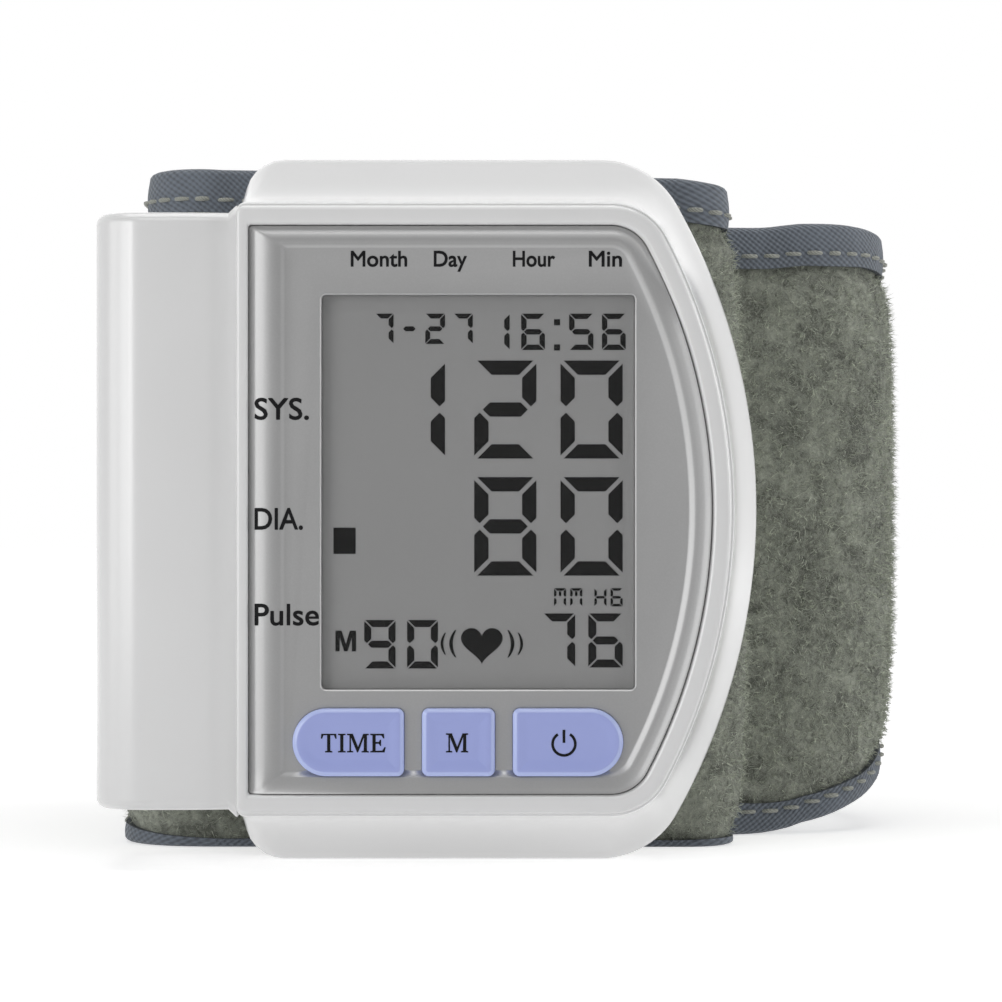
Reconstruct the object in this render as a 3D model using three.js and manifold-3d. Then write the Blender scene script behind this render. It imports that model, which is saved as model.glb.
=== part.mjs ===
import * as THREE from 'three';
import { mergeVertices } from 'three/addons/utils/BufferGeometryUtils.js';
import Module from 'manifold-3d';

// Wrist blood pressure monitor, standing on the lower edge of its cuff.
// Millimetres. X runs to the right, Y from the face towards the wrist, Z up along the wrist.
// The face plane is y = 0 and the middle of the unit's height is z = 0 until the last lines.

const wasm = await Module();
wasm.setup();

// Gaps and walls that several pieces share
const gap = 0.3;
const runningGap = 0.4;
const wall = 1.6;
const overrun = 2;
const screwRadius = 1.1;
const screwHeadRadius = 2;
const screwHeadHeight = 1.1;

// Steps of round outlines
const smallArcSteps = 4;
const largeArcSteps = 8;
const roundSides = 20;
const smallRoundSides = 12;
const wireSides = 5;
const coilStepsPerTurn = 10;

// Face of the unit: the raised rim round the panel
const face = {
  width: 48.9,
  height: 60,
  bulge: 8.45,
  cornerRadius: 6,
  leftRadius: 0.8,
  rimWidth: 1.9,
  leftRimWidth: 1.2,
  rimRise: 0.6,
  rimRound: 0.5,
};

// Base of the unit: the wide flange that lies on the cuff, wider than the face by its flare
const base = {
  sideFlare: 3.4,
  endFlare: 5.75,
  bulge: 11,
  cornerRadius: 9,
  leftRadius: 4,
  partingDepth: 17,
  flangeThickness: 3.6,
  edgeRound: 0.9,
};
base.width = face.width + base.sideFlare;
base.height = face.height + 2 * base.endFlare;
base.left = -base.width / 2;
face.right = base.left + face.width;
for (const outline of [face, base]) {
  outline.sideRadius = ((outline.height / 2) ** 2 + outline.bulge ** 2) / (2 * outline.bulge);
}

// Screws that hold the two housings together, and their posts
const housingScrew = {
  postRadius: 2.6, postLength: 6.5, depth: 4.5, fromEnd: 4.1, fromLeft: 6, fromRight: 12.6,
};

// Rear box of the unit, between the flange and the cuff
const rear = { inset: 6.5, leftShare: 0.4, floor: 1.6 };

// Face panel with its raised border
const panel = { thickness: 1.6, borderWidth: 2.5, borderRise: 0.5, seat: 0.8 };

// Display opening and what lies behind it
const display = {
  fromLeft: 8.4,
  fromRight: 9.5,
  fromTop: 8.8,
  fromBottom: 12.2,
  lensThickness: 1,
  lensMargin: 0.6,
  glassThickness: 1.8,
  glassLedge: 1.2,
  frameWall: 0.6,
  frameDepth: 4,
  cornerRadius: 0.5,
};

// Push buttons, from left to right
const button = {
  height: 6.7,
  fromLeft: 5.6,
  fromRight: 10.7,
  fromBottom: 3.7,
  spacing: 1.75,
  rise: 1,
  edgeRound: 0.35,
  cornerRadius: 0.7,
  lipWidth: 0.5,
  lipThickness: 0.8,
  stemRadius: 1.8,
  travel: 0.8,
};
const buttonWidthShares = { time: 0.378, memory: 0.2475, power: 0.3745 };
const tactSwitch = { side: 6, height: 1.9, plungerRadius: 1.7, plungerHeight: 0.7 };

// Circuit board and what it carries
const board = { thickness: 1.2, fromLeft: 3.75, fromRight: 8.35, fromEnd: 4 };
const chip = { side: 8, height: 1.2, fromLeft: 28, fromTop: 18 };
const buzzer = { radius: 4.5, height: 3, fromLeft: 9.6, fromTop: 10 };
const sensor = {
  width: 7, height: 7, depth: 3.2, nozzleRadius: 1.3, nozzleLength: 2.2, fromLeft: 7.6, fromTop: 23,
};

// Air pump, its crank and the exhaust valve
const pump = {
  fromRight: 17.35,
  fromBottom: 6.6,
  frontSpace: 1.8,
  backSpace: 1.5,
  radius: 7.2,
  motorLength: 17,
  headLength: 10,
  headWall: 1.2,
  shaftRadius: 1,
  crankRadius: 4.6,
  crankThickness: 3,
  crankPinRadius: 0.9,
  crankPinOffset: 2.6,
  crankPinLength: 2,
  outletRadius: 1.5,
  outletLength: 2.4,
};
const valve = {
  fromLeft: 10.15,
  fromBottom: 5.5,
  width: 9.5,
  depth: 9.5,
  height: 13,
  frontSpace: 2.3,
  plungerRadius: 1.6,
  plungerLength: 9,
  plungerShown: 2.4,
  capRadius: 2.4,
  capHeight: 1,
  travel: 0.8,
};
const air = { tubeRadius: 1.5, blockSide: 6, blockFromLeft: 15.3, blockRise: 7.2, nozzleRadius: 1.7 };
const tubeSides = 8;

// Places of the inner parts, measured from the sides of the face
for (const piece of [chip, buzzer, sensor]) {
  piece.x = base.left + piece.fromLeft;
  piece.z = face.height / 2 - piece.fromTop;
}
pump.x = face.right - pump.fromRight;
pump.bottom = -face.height / 2 + pump.fromBottom;
valve.x = base.left + valve.fromLeft;
valve.bottom = -face.height / 2 + valve.fromBottom;
air.blockX = base.left + air.blockFromLeft;
air.blockZ = pump.bottom + pump.motorLength + gap + pump.headLength + pump.outletLength + air.blockRise;

// Depths of the inner parts, from the panel to the floor of the rear housing
const panelBack = panel.thickness;
const lensFront = panelBack + gap;
const glassFront = lensFront + display.lensThickness + gap;
const glassBack = glassFront + display.glassThickness;
const boardFront = glassFront + display.frameDepth + gap;
const boardBack = boardFront + board.thickness;
pump.depth = boardBack + pump.frontSpace + pump.radius;
valve.frontDepth = boardBack + valve.frontSpace;
rear.depth = pump.depth + pump.radius + pump.backSpace + rear.floor;

// Batteries, their tray, contacts and cover
const battery = {
  radius: 5.25,
  length: 44.5,
  nubRadius: 1.9,
  nubLength: 0.8,
  spacing: 0.8,
};
const contact = { thickness: 0.5, wireRadius: 0.3, coilRadius: 3, coilHeight: 2.4, coilTurns: 3 };
const tray = { floor: 1.4, endWall: 1.4, depthMargin: 0.4, reach: 2.7 };
const cover = {
  width: 14.6,
  endSpace: 7.55,
  frontDepth: 1,
  batteryMargin: 2.1,
  cornerRadius: 4.6,
  endRound: 0.9,
  wall: 1.4,
};
cover.height = battery.length + 2 * cover.endSpace;
cover.depth = 4 * battery.radius + battery.spacing + 2 * cover.batteryMargin;
cover.backDepth = cover.frontDepth + cover.depth;

// Cuff: its path in plan, seen from above, and its heights along the path
const cuff = {
  halfThicknessMiddle: 3.25,
  halfThicknessEdge: 1.35,
  fleece: 1.3,
  former: 0.8,
  lining: 0.8,
  bindingThickness: 0.6,
  bindingHeight: 5.4,
  coreMargin: 8.5,
  hookMargin: 9,
  hook: 0.6,
};
const cuffPlate = {
  thickness: 2, fromSide: 11.15, fromEnd: 8.5, screwFromEnd: 11.25, cornerRadius: 3,
};
cuffPlate.width = base.width - 2 * cuffPlate.fromSide;
cuffPlate.height = base.height - 2 * cuffPlate.fromEnd;
const cuffArcStep = 14;
const crownPower = 4;
const cuffSectionShares = [0, 0.34, 0.62, 0.83, 1];
const coreSectionShares = [0, 0.5, 1];

// Small helpers for solids

function merged(geometry) {
  const bare = geometry.clone();
  bare.deleteAttribute('normal');
  bare.deleteAttribute('uv');
  return mergeVertices(bare, 1e-5);
}

function toSolid(geometry) {
  const shared = merged(geometry);
  return new wasm.Manifold(new wasm.Mesh({
    numProp: 3,
    vertProperties: new Float32Array(shared.attributes.position.array),
    triVerts: new Uint32Array(shared.index.array),
  }));
}

function toGeometry(solid) {
  const mesh = solid.getMesh();
  const geometry = new THREE.BufferGeometry();
  geometry.setAttribute('position', new THREE.BufferAttribute(mesh.vertProperties, 3));
  geometry.setIndex(new THREE.BufferAttribute(mesh.triVerts, 1));
  return geometry;
}

function cut(body, ...tools) {
  return toGeometry(tools.reduce((solid, tool) => solid.subtract(toSolid(tool)), toSolid(body)));
}

function join(body, ...others) {
  return toGeometry(others.reduce((solid, other) => solid.add(toSolid(other)), toSolid(body)));
}

function common(body, other) {
  return toGeometry(toSolid(body).intersect(toSolid(other)));
}

function signedVolume(points, triangles) {
  let volume = 0;
  for (let i = 0; i < triangles.length; i += 3) {
    const [a, b, c] = [0, 1, 2].map((k) => points[triangles[i + k]]);
    volume += a.dot(new THREE.Vector3().crossVectors(b, c)) / 6;
  }
  return volume;
}

// A closed skin over a row of rings that all have the same number of points.
// flat gives the points of an end ring in its own plane, for the end caps.
function skin(rings, flat) {
  const size = rings[0].length;
  const points = rings.flat();
  const triangles = [];
  for (let i = 0; i < rings.length - 1; i += 1) {
    for (let j = 0; j < size; j += 1) {
      const a = i * size + j;
      const b = i * size + ((j + 1) % size);
      triangles.push(a, b, b + size, a, b + size, a + size);
    }
  }
  for (const [i, isFirst] of [[0, true], [rings.length - 1, false]]) {
    const outline = flat(rings[i]);
    const swap = isFirst !== THREE.ShapeUtils.isClockWise(outline);
    for (const [a, b, c] of THREE.ShapeUtils.triangulateShape(outline, [])) {
      const start = i * size;
      triangles.push(start + a, start + (swap ? c : b), start + (swap ? b : c));
    }
  }
  if (signedVolume(points, triangles) < 0) {
    triangles.reverse();
  }
  const geometry = new THREE.BufferGeometry().setFromPoints(points);
  geometry.setIndex(triangles);
  return geometry;
}

function arcPoints(centreX, centreZ, radius, from, to, steps) {
  return Array.from({ length: steps + 1 }, (_, i) => {
    const angle = from + ((to - from) * i) / steps;
    return new THREE.Vector2(centreX + radius * Math.cos(angle), centreZ + radius * Math.sin(angle));
  });
}

// The unit's outline: straight left side, bulging right side, four rounded corners
function unitOutline(size, leftInset, inset) {
  const left = base.left + leftInset;
  const half = size.height / 2 - inset;
  const sideRadius = size.sideRadius - inset;
  const cornerRadius = Math.max(size.cornerRadius - inset, gap);
  const leftRadius = Math.max(size.leftRadius - leftInset, gap);
  const sideX = base.left + size.width - inset - sideRadius;
  const cornerZ = half - cornerRadius;
  const cornerX = sideX + Math.sqrt((sideRadius - cornerRadius) ** 2 - cornerZ ** 2);
  const turn = Math.atan2(cornerZ, cornerX - sideX);
  const quarter = Math.PI / 2;
  return [
    ...arcPoints(left + leftRadius, -half + leftRadius, leftRadius, -2 * quarter, -quarter, smallArcSteps),
    ...arcPoints(cornerX, -cornerZ, cornerRadius, -quarter, -turn, largeArcSteps).slice(0, -1),
    ...arcPoints(sideX, 0, sideRadius, -turn, turn, largeArcSteps),
    ...arcPoints(cornerX, cornerZ, cornerRadius, turn, quarter, largeArcSteps).slice(1),
    ...arcPoints(left + leftRadius, half - leftRadius, leftRadius, quarter, 2 * quarter, smallArcSteps),
  ];
}

function ringAt(outline, depth) {
  return outline.map((point) => new THREE.Vector3(point.x, depth, point.y));
}

function blendOutlines(first, second, share) {
  return first.map((point, i) => point.clone().lerp(second[i], share));
}

function seenFromFront(ring) {
  return ring.map((point) => new THREE.Vector2(point.x, point.z));
}

// Stacks outlines at rising depths into a closed body
function stack(layers) {
  return skin(layers.map(([outline, depth]) => ringAt(outline, depth)), seenFromFront);
}

// A box given by its low and high corners
function boxBetween([x0, y0, z0], [x1, y1, z1]) {
  const box = new THREE.BoxGeometry(x1 - x0, y1 - y0, z1 - z0);
  return box.translate((x0 + x1) / 2, (y0 + y1) / 2, (z0 + z1) / 2);
}

// A cylinder from a depth or height, along Y or Z
function rodAlongY(x, z, radius, from, to, sides = smallRoundSides) {
  const rod = new THREE.CylinderGeometry(radius, radius, to - from, sides);
  return rod.translate(x, (from + to) / 2, z);
}

function rodAlongZ(x, y, radius, from, to, sides = smallRoundSides) {
  const rod = new THREE.CylinderGeometry(radius, radius, to - from, sides).rotateX(Math.PI / 2);
  return rod.translate(x, y, (from + to) / 2);
}

// A plate with rounded corners, standing across Y
function roundedPlate(left, right, low, high, radii, from, to) {
  const quarter = Math.PI / 2;
  const corners = [
    [left + radii[0], low + radii[0], radii[0], -2 * quarter],
    [right - radii[1], low + radii[1], radii[1], -quarter],
    [right - radii[1], high - radii[1], radii[1], 0],
    [left + radii[0], high - radii[0], radii[0], quarter],
  ];
  const outline = corners.flatMap(([x, z, r, start]) => (
    arcPoints(x, z, r, start, start + quarter, smallArcSteps)
  ));
  return stack([[outline, from], [outline, to]]);
}

// Front housing

const faceLine = (inset, leftInset = inset) => unitOutline(face, leftInset, inset);
const baseLine = (inset, leftInset = inset) => unitOutline(base, leftInset, inset);
const roundShare = 0.3;
const flareShares = [[0.34, 0.08], [0.52, 0.26], [0.7, 0.54], [0.85, 0.82]];

function flare(inset, leftInset) {
  return flareShares.map(([depthShare, widthShare]) => [
    blendOutlines(faceLine(inset, leftInset), baseLine(inset, leftInset), widthShare),
    base.partingDepth * depthShare,
  ]);
}

const housingFloor = panelBack + gap;

function makeFrontHousing() {
  const outside = stack([
    [faceLine(face.rimRound), -face.rimRise],
    [faceLine(face.rimRound * roundShare), face.rimRound * roundShare - face.rimRise],
    [faceLine(0), face.rimRound - face.rimRise],
    ...flare(0, 0),
    [baseLine(0), base.partingDepth - base.edgeRound],
    [baseLine(0), base.partingDepth],
  ]);
  const inside = stack([
    [faceLine(face.rimWidth + panel.seat, face.leftRimWidth + panel.seat), -overrun],
    [faceLine(face.rimWidth + panel.seat, face.leftRimWidth + panel.seat), housingFloor + wall],
    ...flare(wall, wall).slice(1),
    [baseLine(wall), base.partingDepth + overrun],
  ]);
  const recess = stack([
    [faceLine(face.rimWidth, face.leftRimWidth), -overrun],
    [faceLine(face.rimWidth, face.leftRimWidth), housingFloor],
  ]);
  const posts = housingScrewPlaces.map(([x, z]) => common(
    rodAlongY(
      x, z, housingScrew.postRadius, base.partingDepth - housingScrew.postLength, base.partingDepth,
    ),
    outside,
  ));
  const holes = housingScrewPlaces.map(([x, z]) => (
    rodAlongY(
      x, z, screwRadius + gap,
      base.partingDepth - housingScrew.depth - gap, base.partingDepth + overrun,
    )
  ));
  return cut(join(cut(outside, inside, recess), ...posts), ...holes);
}

const housingScrewLeft = base.left + housingScrew.fromLeft;
const housingScrewRight = face.right - housingScrew.fromRight;
const screwZ = base.height / 2 - housingScrew.fromEnd;
const housingScrewPlaces = [
  [housingScrewLeft, screwZ],
  [housingScrewRight, screwZ],
  [housingScrewLeft, -screwZ],
  [housingScrewRight, -screwZ],
];

// Rear housing

const rearFront = base.partingDepth + gap;
const flangeBack = rearFront + base.flangeThickness;
const rearFloor = rear.depth - rear.floor;
const screwSeat = flangeBack - screwHeadHeight;

// A screw whose head starts at one depth and whose tip lies at another
function screw(x, z, headFrom, headTo, tip) {
  const [low, high] = [Math.min(headTo, tip), Math.max(headTo, tip)];
  const head = rodAlongY(x, z, screwHeadRadius, Math.min(headFrom, headTo), Math.max(headFrom, headTo));
  const shank = rodAlongY(x, z, screwRadius, low, high);
  return join(head, shank);
}

function makeRearHousing() {
  const box = (inset) => unitOutline(base, inset * rear.leftShare, inset);
  const outside = join(
    stack([
      [baseLine(0), rearFront],
      [baseLine(0), flangeBack - base.edgeRound],
      [baseLine(base.edgeRound * roundShare), flangeBack - base.edgeRound * roundShare],
      [baseLine(base.edgeRound), flangeBack],
    ]),
    stack([
      [box(rear.inset), rearFront + gap],
      [box(rear.inset), rear.depth - base.edgeRound],
      [box(rear.inset + base.edgeRound), rear.depth],
    ]),
  );
  const inside = stack([
    [box(rear.inset + wall), rearFront - overrun],
    [box(rear.inset + wall), rearFloor],
  ]);
  const holes = housingScrewPlaces.flatMap(([x, z]) => [
    rodAlongY(x, z, screwRadius + gap, rearFront - overrun, flangeBack + overrun),
    rodAlongY(x, z, screwHeadRadius + gap, screwSeat - gap, flangeBack + overrun),
  ]);
  const plateHoles = plateScrewPlaces.map(([x, z]) => (
    rodAlongY(x, z, screwRadius + gap, rearFloor - overrun, rear.depth + overrun)
  ));
  const nozzleHole = rodAlongY(
    air.blockX, air.blockZ, air.nozzleRadius + gap, rearFloor - overrun, rear.depth + overrun,
  );
  return cut(outside, inside, ...holes, ...plateHoles, nozzleHole);
}

const plateX = base.left + base.width / 2;
const plateScrewZ = cuffPlate.height / 2 - cuffPlate.screwFromEnd;
const plateScrewPlaces = [[plateX, -plateScrewZ], [plateX, plateScrewZ]];

// Face panel with its display and button openings

const faceLeft = base.left;
const faceTop = face.height / 2;
const opening = {
  left: faceLeft + display.fromLeft,
  right: face.right - display.fromRight,
  high: faceTop - display.fromTop,
  low: -faceTop + display.fromBottom,
};

const buttonLow = -face.height / 2 + button.fromBottom;
const buttonHigh = buttonLow + button.height;
const buttonPlaces = {};
const buttonRow = face.width - button.fromLeft - button.fromRight - 2 * button.spacing;
let buttonLeft = faceLeft + button.fromLeft;
for (const [name, share] of Object.entries(buttonWidthShares)) {
  const width = buttonRow * share;
  buttonPlaces[name] = { left: buttonLeft, right: buttonLeft + width };
  buttonLeft += width + button.spacing;
}
const round = button.height / 2;
buttonPlaces.time.radii = [round, button.cornerRadius];
buttonPlaces.memory.radii = [button.cornerRadius, button.cornerRadius];
buttonPlaces.power.radii = [button.cornerRadius, round];

function buttonPlate(place, grow, from, to) {
  return roundedPlate(
    place.left - grow, place.right + grow, buttonLow - grow, buttonHigh + grow,
    place.radii.map((radius) => radius + grow), from, to,
  );
}

function makePanel() {
  const line = (inset) => faceLine(
    face.rimWidth + gap / 2 + inset, face.leftRimWidth + gap / 2 + inset,
  );
  const borderShares = [[0, 0.1], [0.22, 0.75], [0.5, 1], [0.78, 0.6], [1, 0]];
  const top = borderShares.map(([widthShare, riseShare]) => [
    line(panel.borderWidth * widthShare), -panel.borderRise * riseShare,
  ]);
  const rings = [[line(0), panelBack], ...top];
  const plate = skin(rings.map(([outline, depth]) => ringAt(outline, depth)), seenFromFront);
  const displayHole = roundedPlate(
    opening.left, opening.right, opening.low, opening.high,
    [display.cornerRadius, display.cornerRadius], -overrun, panelBack + overrun,
  );
  const holes = Object.values(buttonPlaces).map((place) => (
    buttonPlate(place, gap, -overrun, panelBack + overrun)
  ));
  return cut(plate, displayHole, ...holes);
}

function makeButton(place) {
  const from = -button.rise;
  const cap = (grow) => buttonPlate(place, grow, 0, 1);
  const outlineOf = (grow) => cap(grow).attributes.position;
  const rings = [[-button.edgeRound, from], [0, from + button.edgeRound], [0, lipFront]].map(
    ([grow, depth]) => {
      const positions = outlineOf(grow);
      const count = positions.count / 2;
      return Array.from({ length: count }, (_, i) => (
        new THREE.Vector3(positions.getX(i), depth, positions.getZ(i))
      ));
    },
  );
  const lip = boxBetween(
    [place.left - button.lipWidth, lipFront, buttonLow - button.lipWidth],
    [place.right + button.lipWidth, lipBack, buttonHigh],
  );
  const middleX = (place.left + place.right) / 2;
  const stem = rodAlongY(middleX, buttonMiddle, button.stemRadius, lipFront, stemBack);
  return join(skin(rings, seenFromFront), lip, stem);
}

const lipFront = panelBack + gap;
const lipBack = lipFront + button.lipThickness;
const buttonMiddle = (buttonLow + buttonHigh) / 2;

// Display: lens, glass, frame and its rubber contact strip

const switchFront = boardFront - gap - tactSwitch.height;
const stemBack = switchFront - tactSwitch.plungerHeight - button.travel - gap / 2;
const glassHigh = opening.high + display.glassLedge;

function makeLens() {
  const grow = display.lensMargin;
  return boxBetween(
    [opening.left - grow, lensFront, opening.low - grow],
    [opening.right + grow, lensFront + display.lensThickness, opening.high + grow],
  );
}

function makeGlass() {
  const grow = display.lensMargin;
  return boxBetween(
    [opening.left - grow, glassFront, opening.low - grow],
    [opening.right + grow, glassBack, glassHigh],
  );
}

function makeDisplayFrame() {
  const inner = display.lensMargin + gap;
  const outer = inner + display.frameWall;
  const body = boxBetween(
    [opening.left - outer, glassFront, opening.low - outer],
    [opening.right + outer, boardFront - gap, glassHigh + outer - display.lensMargin],
  );
  const hole = boxBetween(
    [opening.left - inner, glassFront - overrun, opening.low - inner],
    [opening.right + inner, boardFront + overrun, glassHigh + inner - display.lensMargin],
  );
  return cut(body, hole);
}

const stripShares = [0.1, 0.9];

function makeContactStrip() {
  return boxBetween(
    [opening.left, glassBack + gap, glassHigh - display.glassLedge * stripShares[1]],
    [opening.right, boardFront - gap, glassHigh - display.glassLedge * stripShares[0]],
  );
}

// Circuit board and its parts

function makeBoard() {
  return boxBetween(
    [base.left + board.fromLeft, boardFront, -face.height / 2 + board.fromEnd],
    [face.right - board.fromRight, boardBack, face.height / 2 - board.fromEnd],
  );
}

function makeTactSwitch(place) {
  const x = (place.left + place.right) / 2;
  const half = tactSwitch.side / 2;
  const body = boxBetween(
    [x - half, switchFront, buttonMiddle - half],
    [x + half, boardFront - gap, Math.min(buttonMiddle + half, opening.low - display.lensMargin - wall)],
  );
  const plunger = rodAlongY(
    x, buttonMiddle, tactSwitch.plungerRadius, switchFront - tactSwitch.plungerHeight, switchFront + gap,
  );
  return join(body, plunger);
}

const partFront = boardBack + gap;

function boardBox(x, z, width, height, depth) {
  return boxBetween(
    [x - width / 2, partFront, z - height / 2],
    [x + width / 2, partFront + depth, z + height / 2],
  );
}

function makeSensor() {
  const nozzleEnd = partFront + sensor.depth + sensor.nozzleLength;
  const nozzle = rodAlongY(sensor.x, sensor.z, sensor.nozzleRadius, partFront + sensor.depth / 2, nozzleEnd);
  return join(boardBox(sensor.x, sensor.z, sensor.width, sensor.height, sensor.depth), nozzle);
}

// Air pump: motor, open head with its crank inside, outlet

const headBottom = pump.bottom + pump.motorLength + gap;
const headTop = headBottom + pump.headLength;
const crankBottom = headBottom + runningGap;

function makeMotor() {
  const motor = rodAlongZ(
    pump.x, pump.depth, pump.radius, pump.bottom, pump.bottom + pump.motorLength, roundSides,
  );
  const bore = rodAlongZ(
    pump.x, pump.depth, pump.shaftRadius + runningGap,
    pump.bottom + pump.motorLength / 2, pump.bottom + pump.motorLength + overrun,
  );
  return cut(motor, bore);
}

function makePumpHead() {
  const head = rodAlongZ(pump.x, pump.depth, pump.radius, headBottom, headTop, roundSides);
  const chamber = rodAlongZ(
    pump.x, pump.depth, pump.radius - pump.headWall, headBottom - overrun, headTop - pump.headWall,
    roundSides,
  );
  const outlet = rodAlongZ(
    pump.x, pump.depth, pump.outletRadius, headTop - pump.headWall / 2, headTop + pump.outletLength,
  );
  return join(cut(head, chamber), outlet);
}

function makeCrank() {
  const crankTop = crankBottom + pump.crankThickness;
  const disc = rodAlongZ(pump.x, pump.depth, pump.crankRadius, crankBottom, crankTop, roundSides);
  const shaft = rodAlongZ(
    pump.x, pump.depth, pump.shaftRadius,
    pump.bottom + pump.motorLength / 2 + runningGap, crankBottom + pump.crankThickness / 2,
  );
  const pin = rodAlongZ(
    pump.x + pump.crankPinOffset, pump.depth, pump.crankPinRadius,
    crankBottom + pump.crankThickness / 2, crankTop + pump.crankPinLength,
  );
  return join(disc, shaft, pin);
}

// Exhaust valve and its plunger, which rises when the cuff is vented

const valveTop = valve.bottom + valve.height;
const valveDepth = valve.frontDepth + valve.depth / 2;

function makeValve() {
  const body = boxBetween(
    [valve.x - valve.width / 2, valve.frontDepth, valve.bottom],
    [valve.x + valve.width / 2, valve.frontDepth + valve.depth, valveTop],
  );
  const bore = rodAlongZ(
    valve.x, valveDepth, valve.plungerRadius + runningGap,
    valveTop + valve.plungerShown - valve.plungerLength - runningGap, valveTop + overrun,
  );
  return cut(body, bore);
}

function makePlunger() {
  const top = valveTop + valve.plungerShown;
  const stem = rodAlongZ(valve.x, valveDepth, valve.plungerRadius, top - valve.plungerLength, top);
  return join(stem, rodAlongZ(valve.x, valveDepth, valve.capRadius, top - valve.capHeight, top));
}

// Air block and its three tubes, and the nozzle that feeds the cuff

const blockDepth = pump.depth;
const blockHalf = air.blockSide / 2;

function tubeAlong(places) {
  const curve = new THREE.CatmullRomCurve3(places.map((place) => new THREE.Vector3(...place)));
  const section = new THREE.Shape(
    arcPoints(0, 0, air.tubeRadius, 0, 2 * Math.PI, tubeSides).slice(0, -1),
  );
  return new THREE.ExtrudeGeometry(section, {
    steps: places.length * 3, extrudePath: curve, curveSegments: 1, bevelEnabled: false,
  });
}

function makeBlock() {
  return boxBetween(
    [air.blockX - blockHalf, blockDepth - blockHalf, air.blockZ - blockHalf],
    [air.blockX + blockHalf, blockDepth + blockHalf, air.blockZ + blockHalf],
  );
}

const bendShares = [0.12, 0.5];
const bendRiseShare = 0.5;
const sensorRiseShare = 0.4;

function makePumpTube() {
  const from = headTop + pump.outletLength + gap;
  const to = air.blockX + blockHalf + gap;
  const between = (share) => THREE.MathUtils.lerp(pump.x, to, share);
  return tubeAlong([
    [pump.x, pump.depth, from],
    [pump.x, pump.depth, (from + air.blockZ) / 2],
    [between(bendShares[0]), blockDepth, air.blockZ - air.tubeRadius * bendRiseShare],
    [between(bendShares[1]), blockDepth, air.blockZ],
    [to, blockDepth, air.blockZ],
  ]);
}

const valveTubeShares = [[0, 0], [0, 0.07], [0.5, 0.16], [1, 0.25], [1, 0.6], [1, 1]];

function makeValveTube() {
  const top = air.blockZ - blockHalf - gap;
  const low = valveTop + gap;
  const x = valve.x + valve.width / 2 - air.tubeRadius - gap;
  const depth = valveDepth + valve.depth / 2 - air.tubeRadius - gap;
  const at = (share, heightShare) => [
    THREE.MathUtils.lerp(air.blockX, x, share),
    THREE.MathUtils.lerp(blockDepth, depth, share),
    THREE.MathUtils.lerp(top, low, heightShare),
  ];
  return tubeAlong(valveTubeShares.map(([share, heightShare]) => at(share, heightShare)));
}

function makeSensorTube() {
  const front = partFront + sensor.depth + sensor.nozzleLength + gap;
  const side = air.blockX - blockHalf - gap;
  return tubeAlong([
    [sensor.x, front, sensor.z],
    [sensor.x, (front + blockDepth) / 2, sensor.z],
    [sensor.x + air.tubeRadius / 2, blockDepth, sensor.z + (air.blockZ - sensor.z) * sensorRiseShare],
    [(sensor.x + side) / 2, blockDepth, air.blockZ],
    [side, blockDepth, air.blockZ],
  ]);
}

const plateFront = rear.depth + gap;
const plateBack = plateFront + cuffPlate.thickness;
const nearDepth = Math.max(plateBack, cover.backDepth) + gap + cuff.halfThicknessMiddle;

function makeNozzle() {
  const bladderFront = nearDepth - bladderOut(0);
  return rodAlongY(
    air.blockX, air.blockZ, air.nozzleRadius, blockDepth + blockHalf + gap, bladderFront - gap,
  );
}

// Cuff anchor plate, screwed on from inside the rear housing

function makePlate() {
  const half = cuffPlate.width / 2;
  const radii = [cuffPlate.cornerRadius, cuffPlate.cornerRadius];
  const plate = roundedPlate(
    plateX - half, plateX + half, -cuffPlate.height / 2, cuffPlate.height / 2,
    radii, plateFront, plateBack,
  );
  const holes = plateScrewPlaces.map(([x, z]) => (
    rodAlongY(x, z, screwRadius + gap, plateFront - overrun, plateBack - gap)
  ));
  const nozzleHole = rodAlongY(
    air.blockX, air.blockZ, air.nozzleRadius + gap, plateFront - overrun, plateBack + overrun,
  );
  return cut(plate, ...holes, nozzleHole);
}

const plateScrewTip = plateBack - 2 * gap;

// Battery tray, contacts, batteries and the sliding cover

const trayRight = base.left - gap;
const batteryX = trayRight - tray.floor - gap - battery.radius;
const bayDepth = (cover.frontDepth + cover.backDepth) / 2;
const batteryDepths = {
  front: bayDepth - battery.radius - battery.spacing / 2,
  rear: bayDepth + battery.radius + battery.spacing / 2,
};
const batteryLow = -battery.length / 2 + contact.coilHeight / 2;
const batteryHigh = batteryLow + battery.length;
const highPlate = batteryHigh + gap;
const lowPlate = batteryLow - gap - contact.coilHeight - gap - contact.thickness;
const trayHigh = highPlate + contact.thickness + gap + tray.endWall;
const trayLow = lowPlate - gap - tray.endWall;
const traySpan = battery.radius + tray.depthMargin;

function makeTray() {
  const from = batteryDepths.front - traySpan;
  const to = batteryDepths.rear + traySpan;
  const body = boxBetween([batteryX - tray.reach, from, trayLow], [trayRight, to, trayHigh]);
  const hollow = boxBetween(
    [batteryX - tray.reach - overrun, from - overrun, trayLow + tray.endWall],
    [trayRight - tray.floor, to + overrun, trayHigh - tray.endWall],
  );
  return cut(body, hollow);
}

function makeBattery(depth) {
  const shoulder = batteryHigh - battery.nubLength;
  const can = rodAlongZ(batteryX, depth, battery.radius, batteryLow, shoulder, roundSides);
  return join(can, rodAlongZ(batteryX, depth, battery.nubRadius, shoulder - gap, batteryHigh));
}

function makeHighContact() {
  const reach = battery.radius - wall;
  return boxBetween(
    [batteryX - reach, batteryDepths.front - reach, highPlate],
    [batteryX + reach, batteryDepths.rear + reach, highPlate + contact.thickness],
  );
}

function makeLowContact(depth) {
  const reach = battery.radius - wall;
  return boxBetween(
    [batteryX - reach, depth - reach, lowPlate],
    [batteryX + reach, depth + reach, lowPlate + contact.thickness],
  );
}

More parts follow.
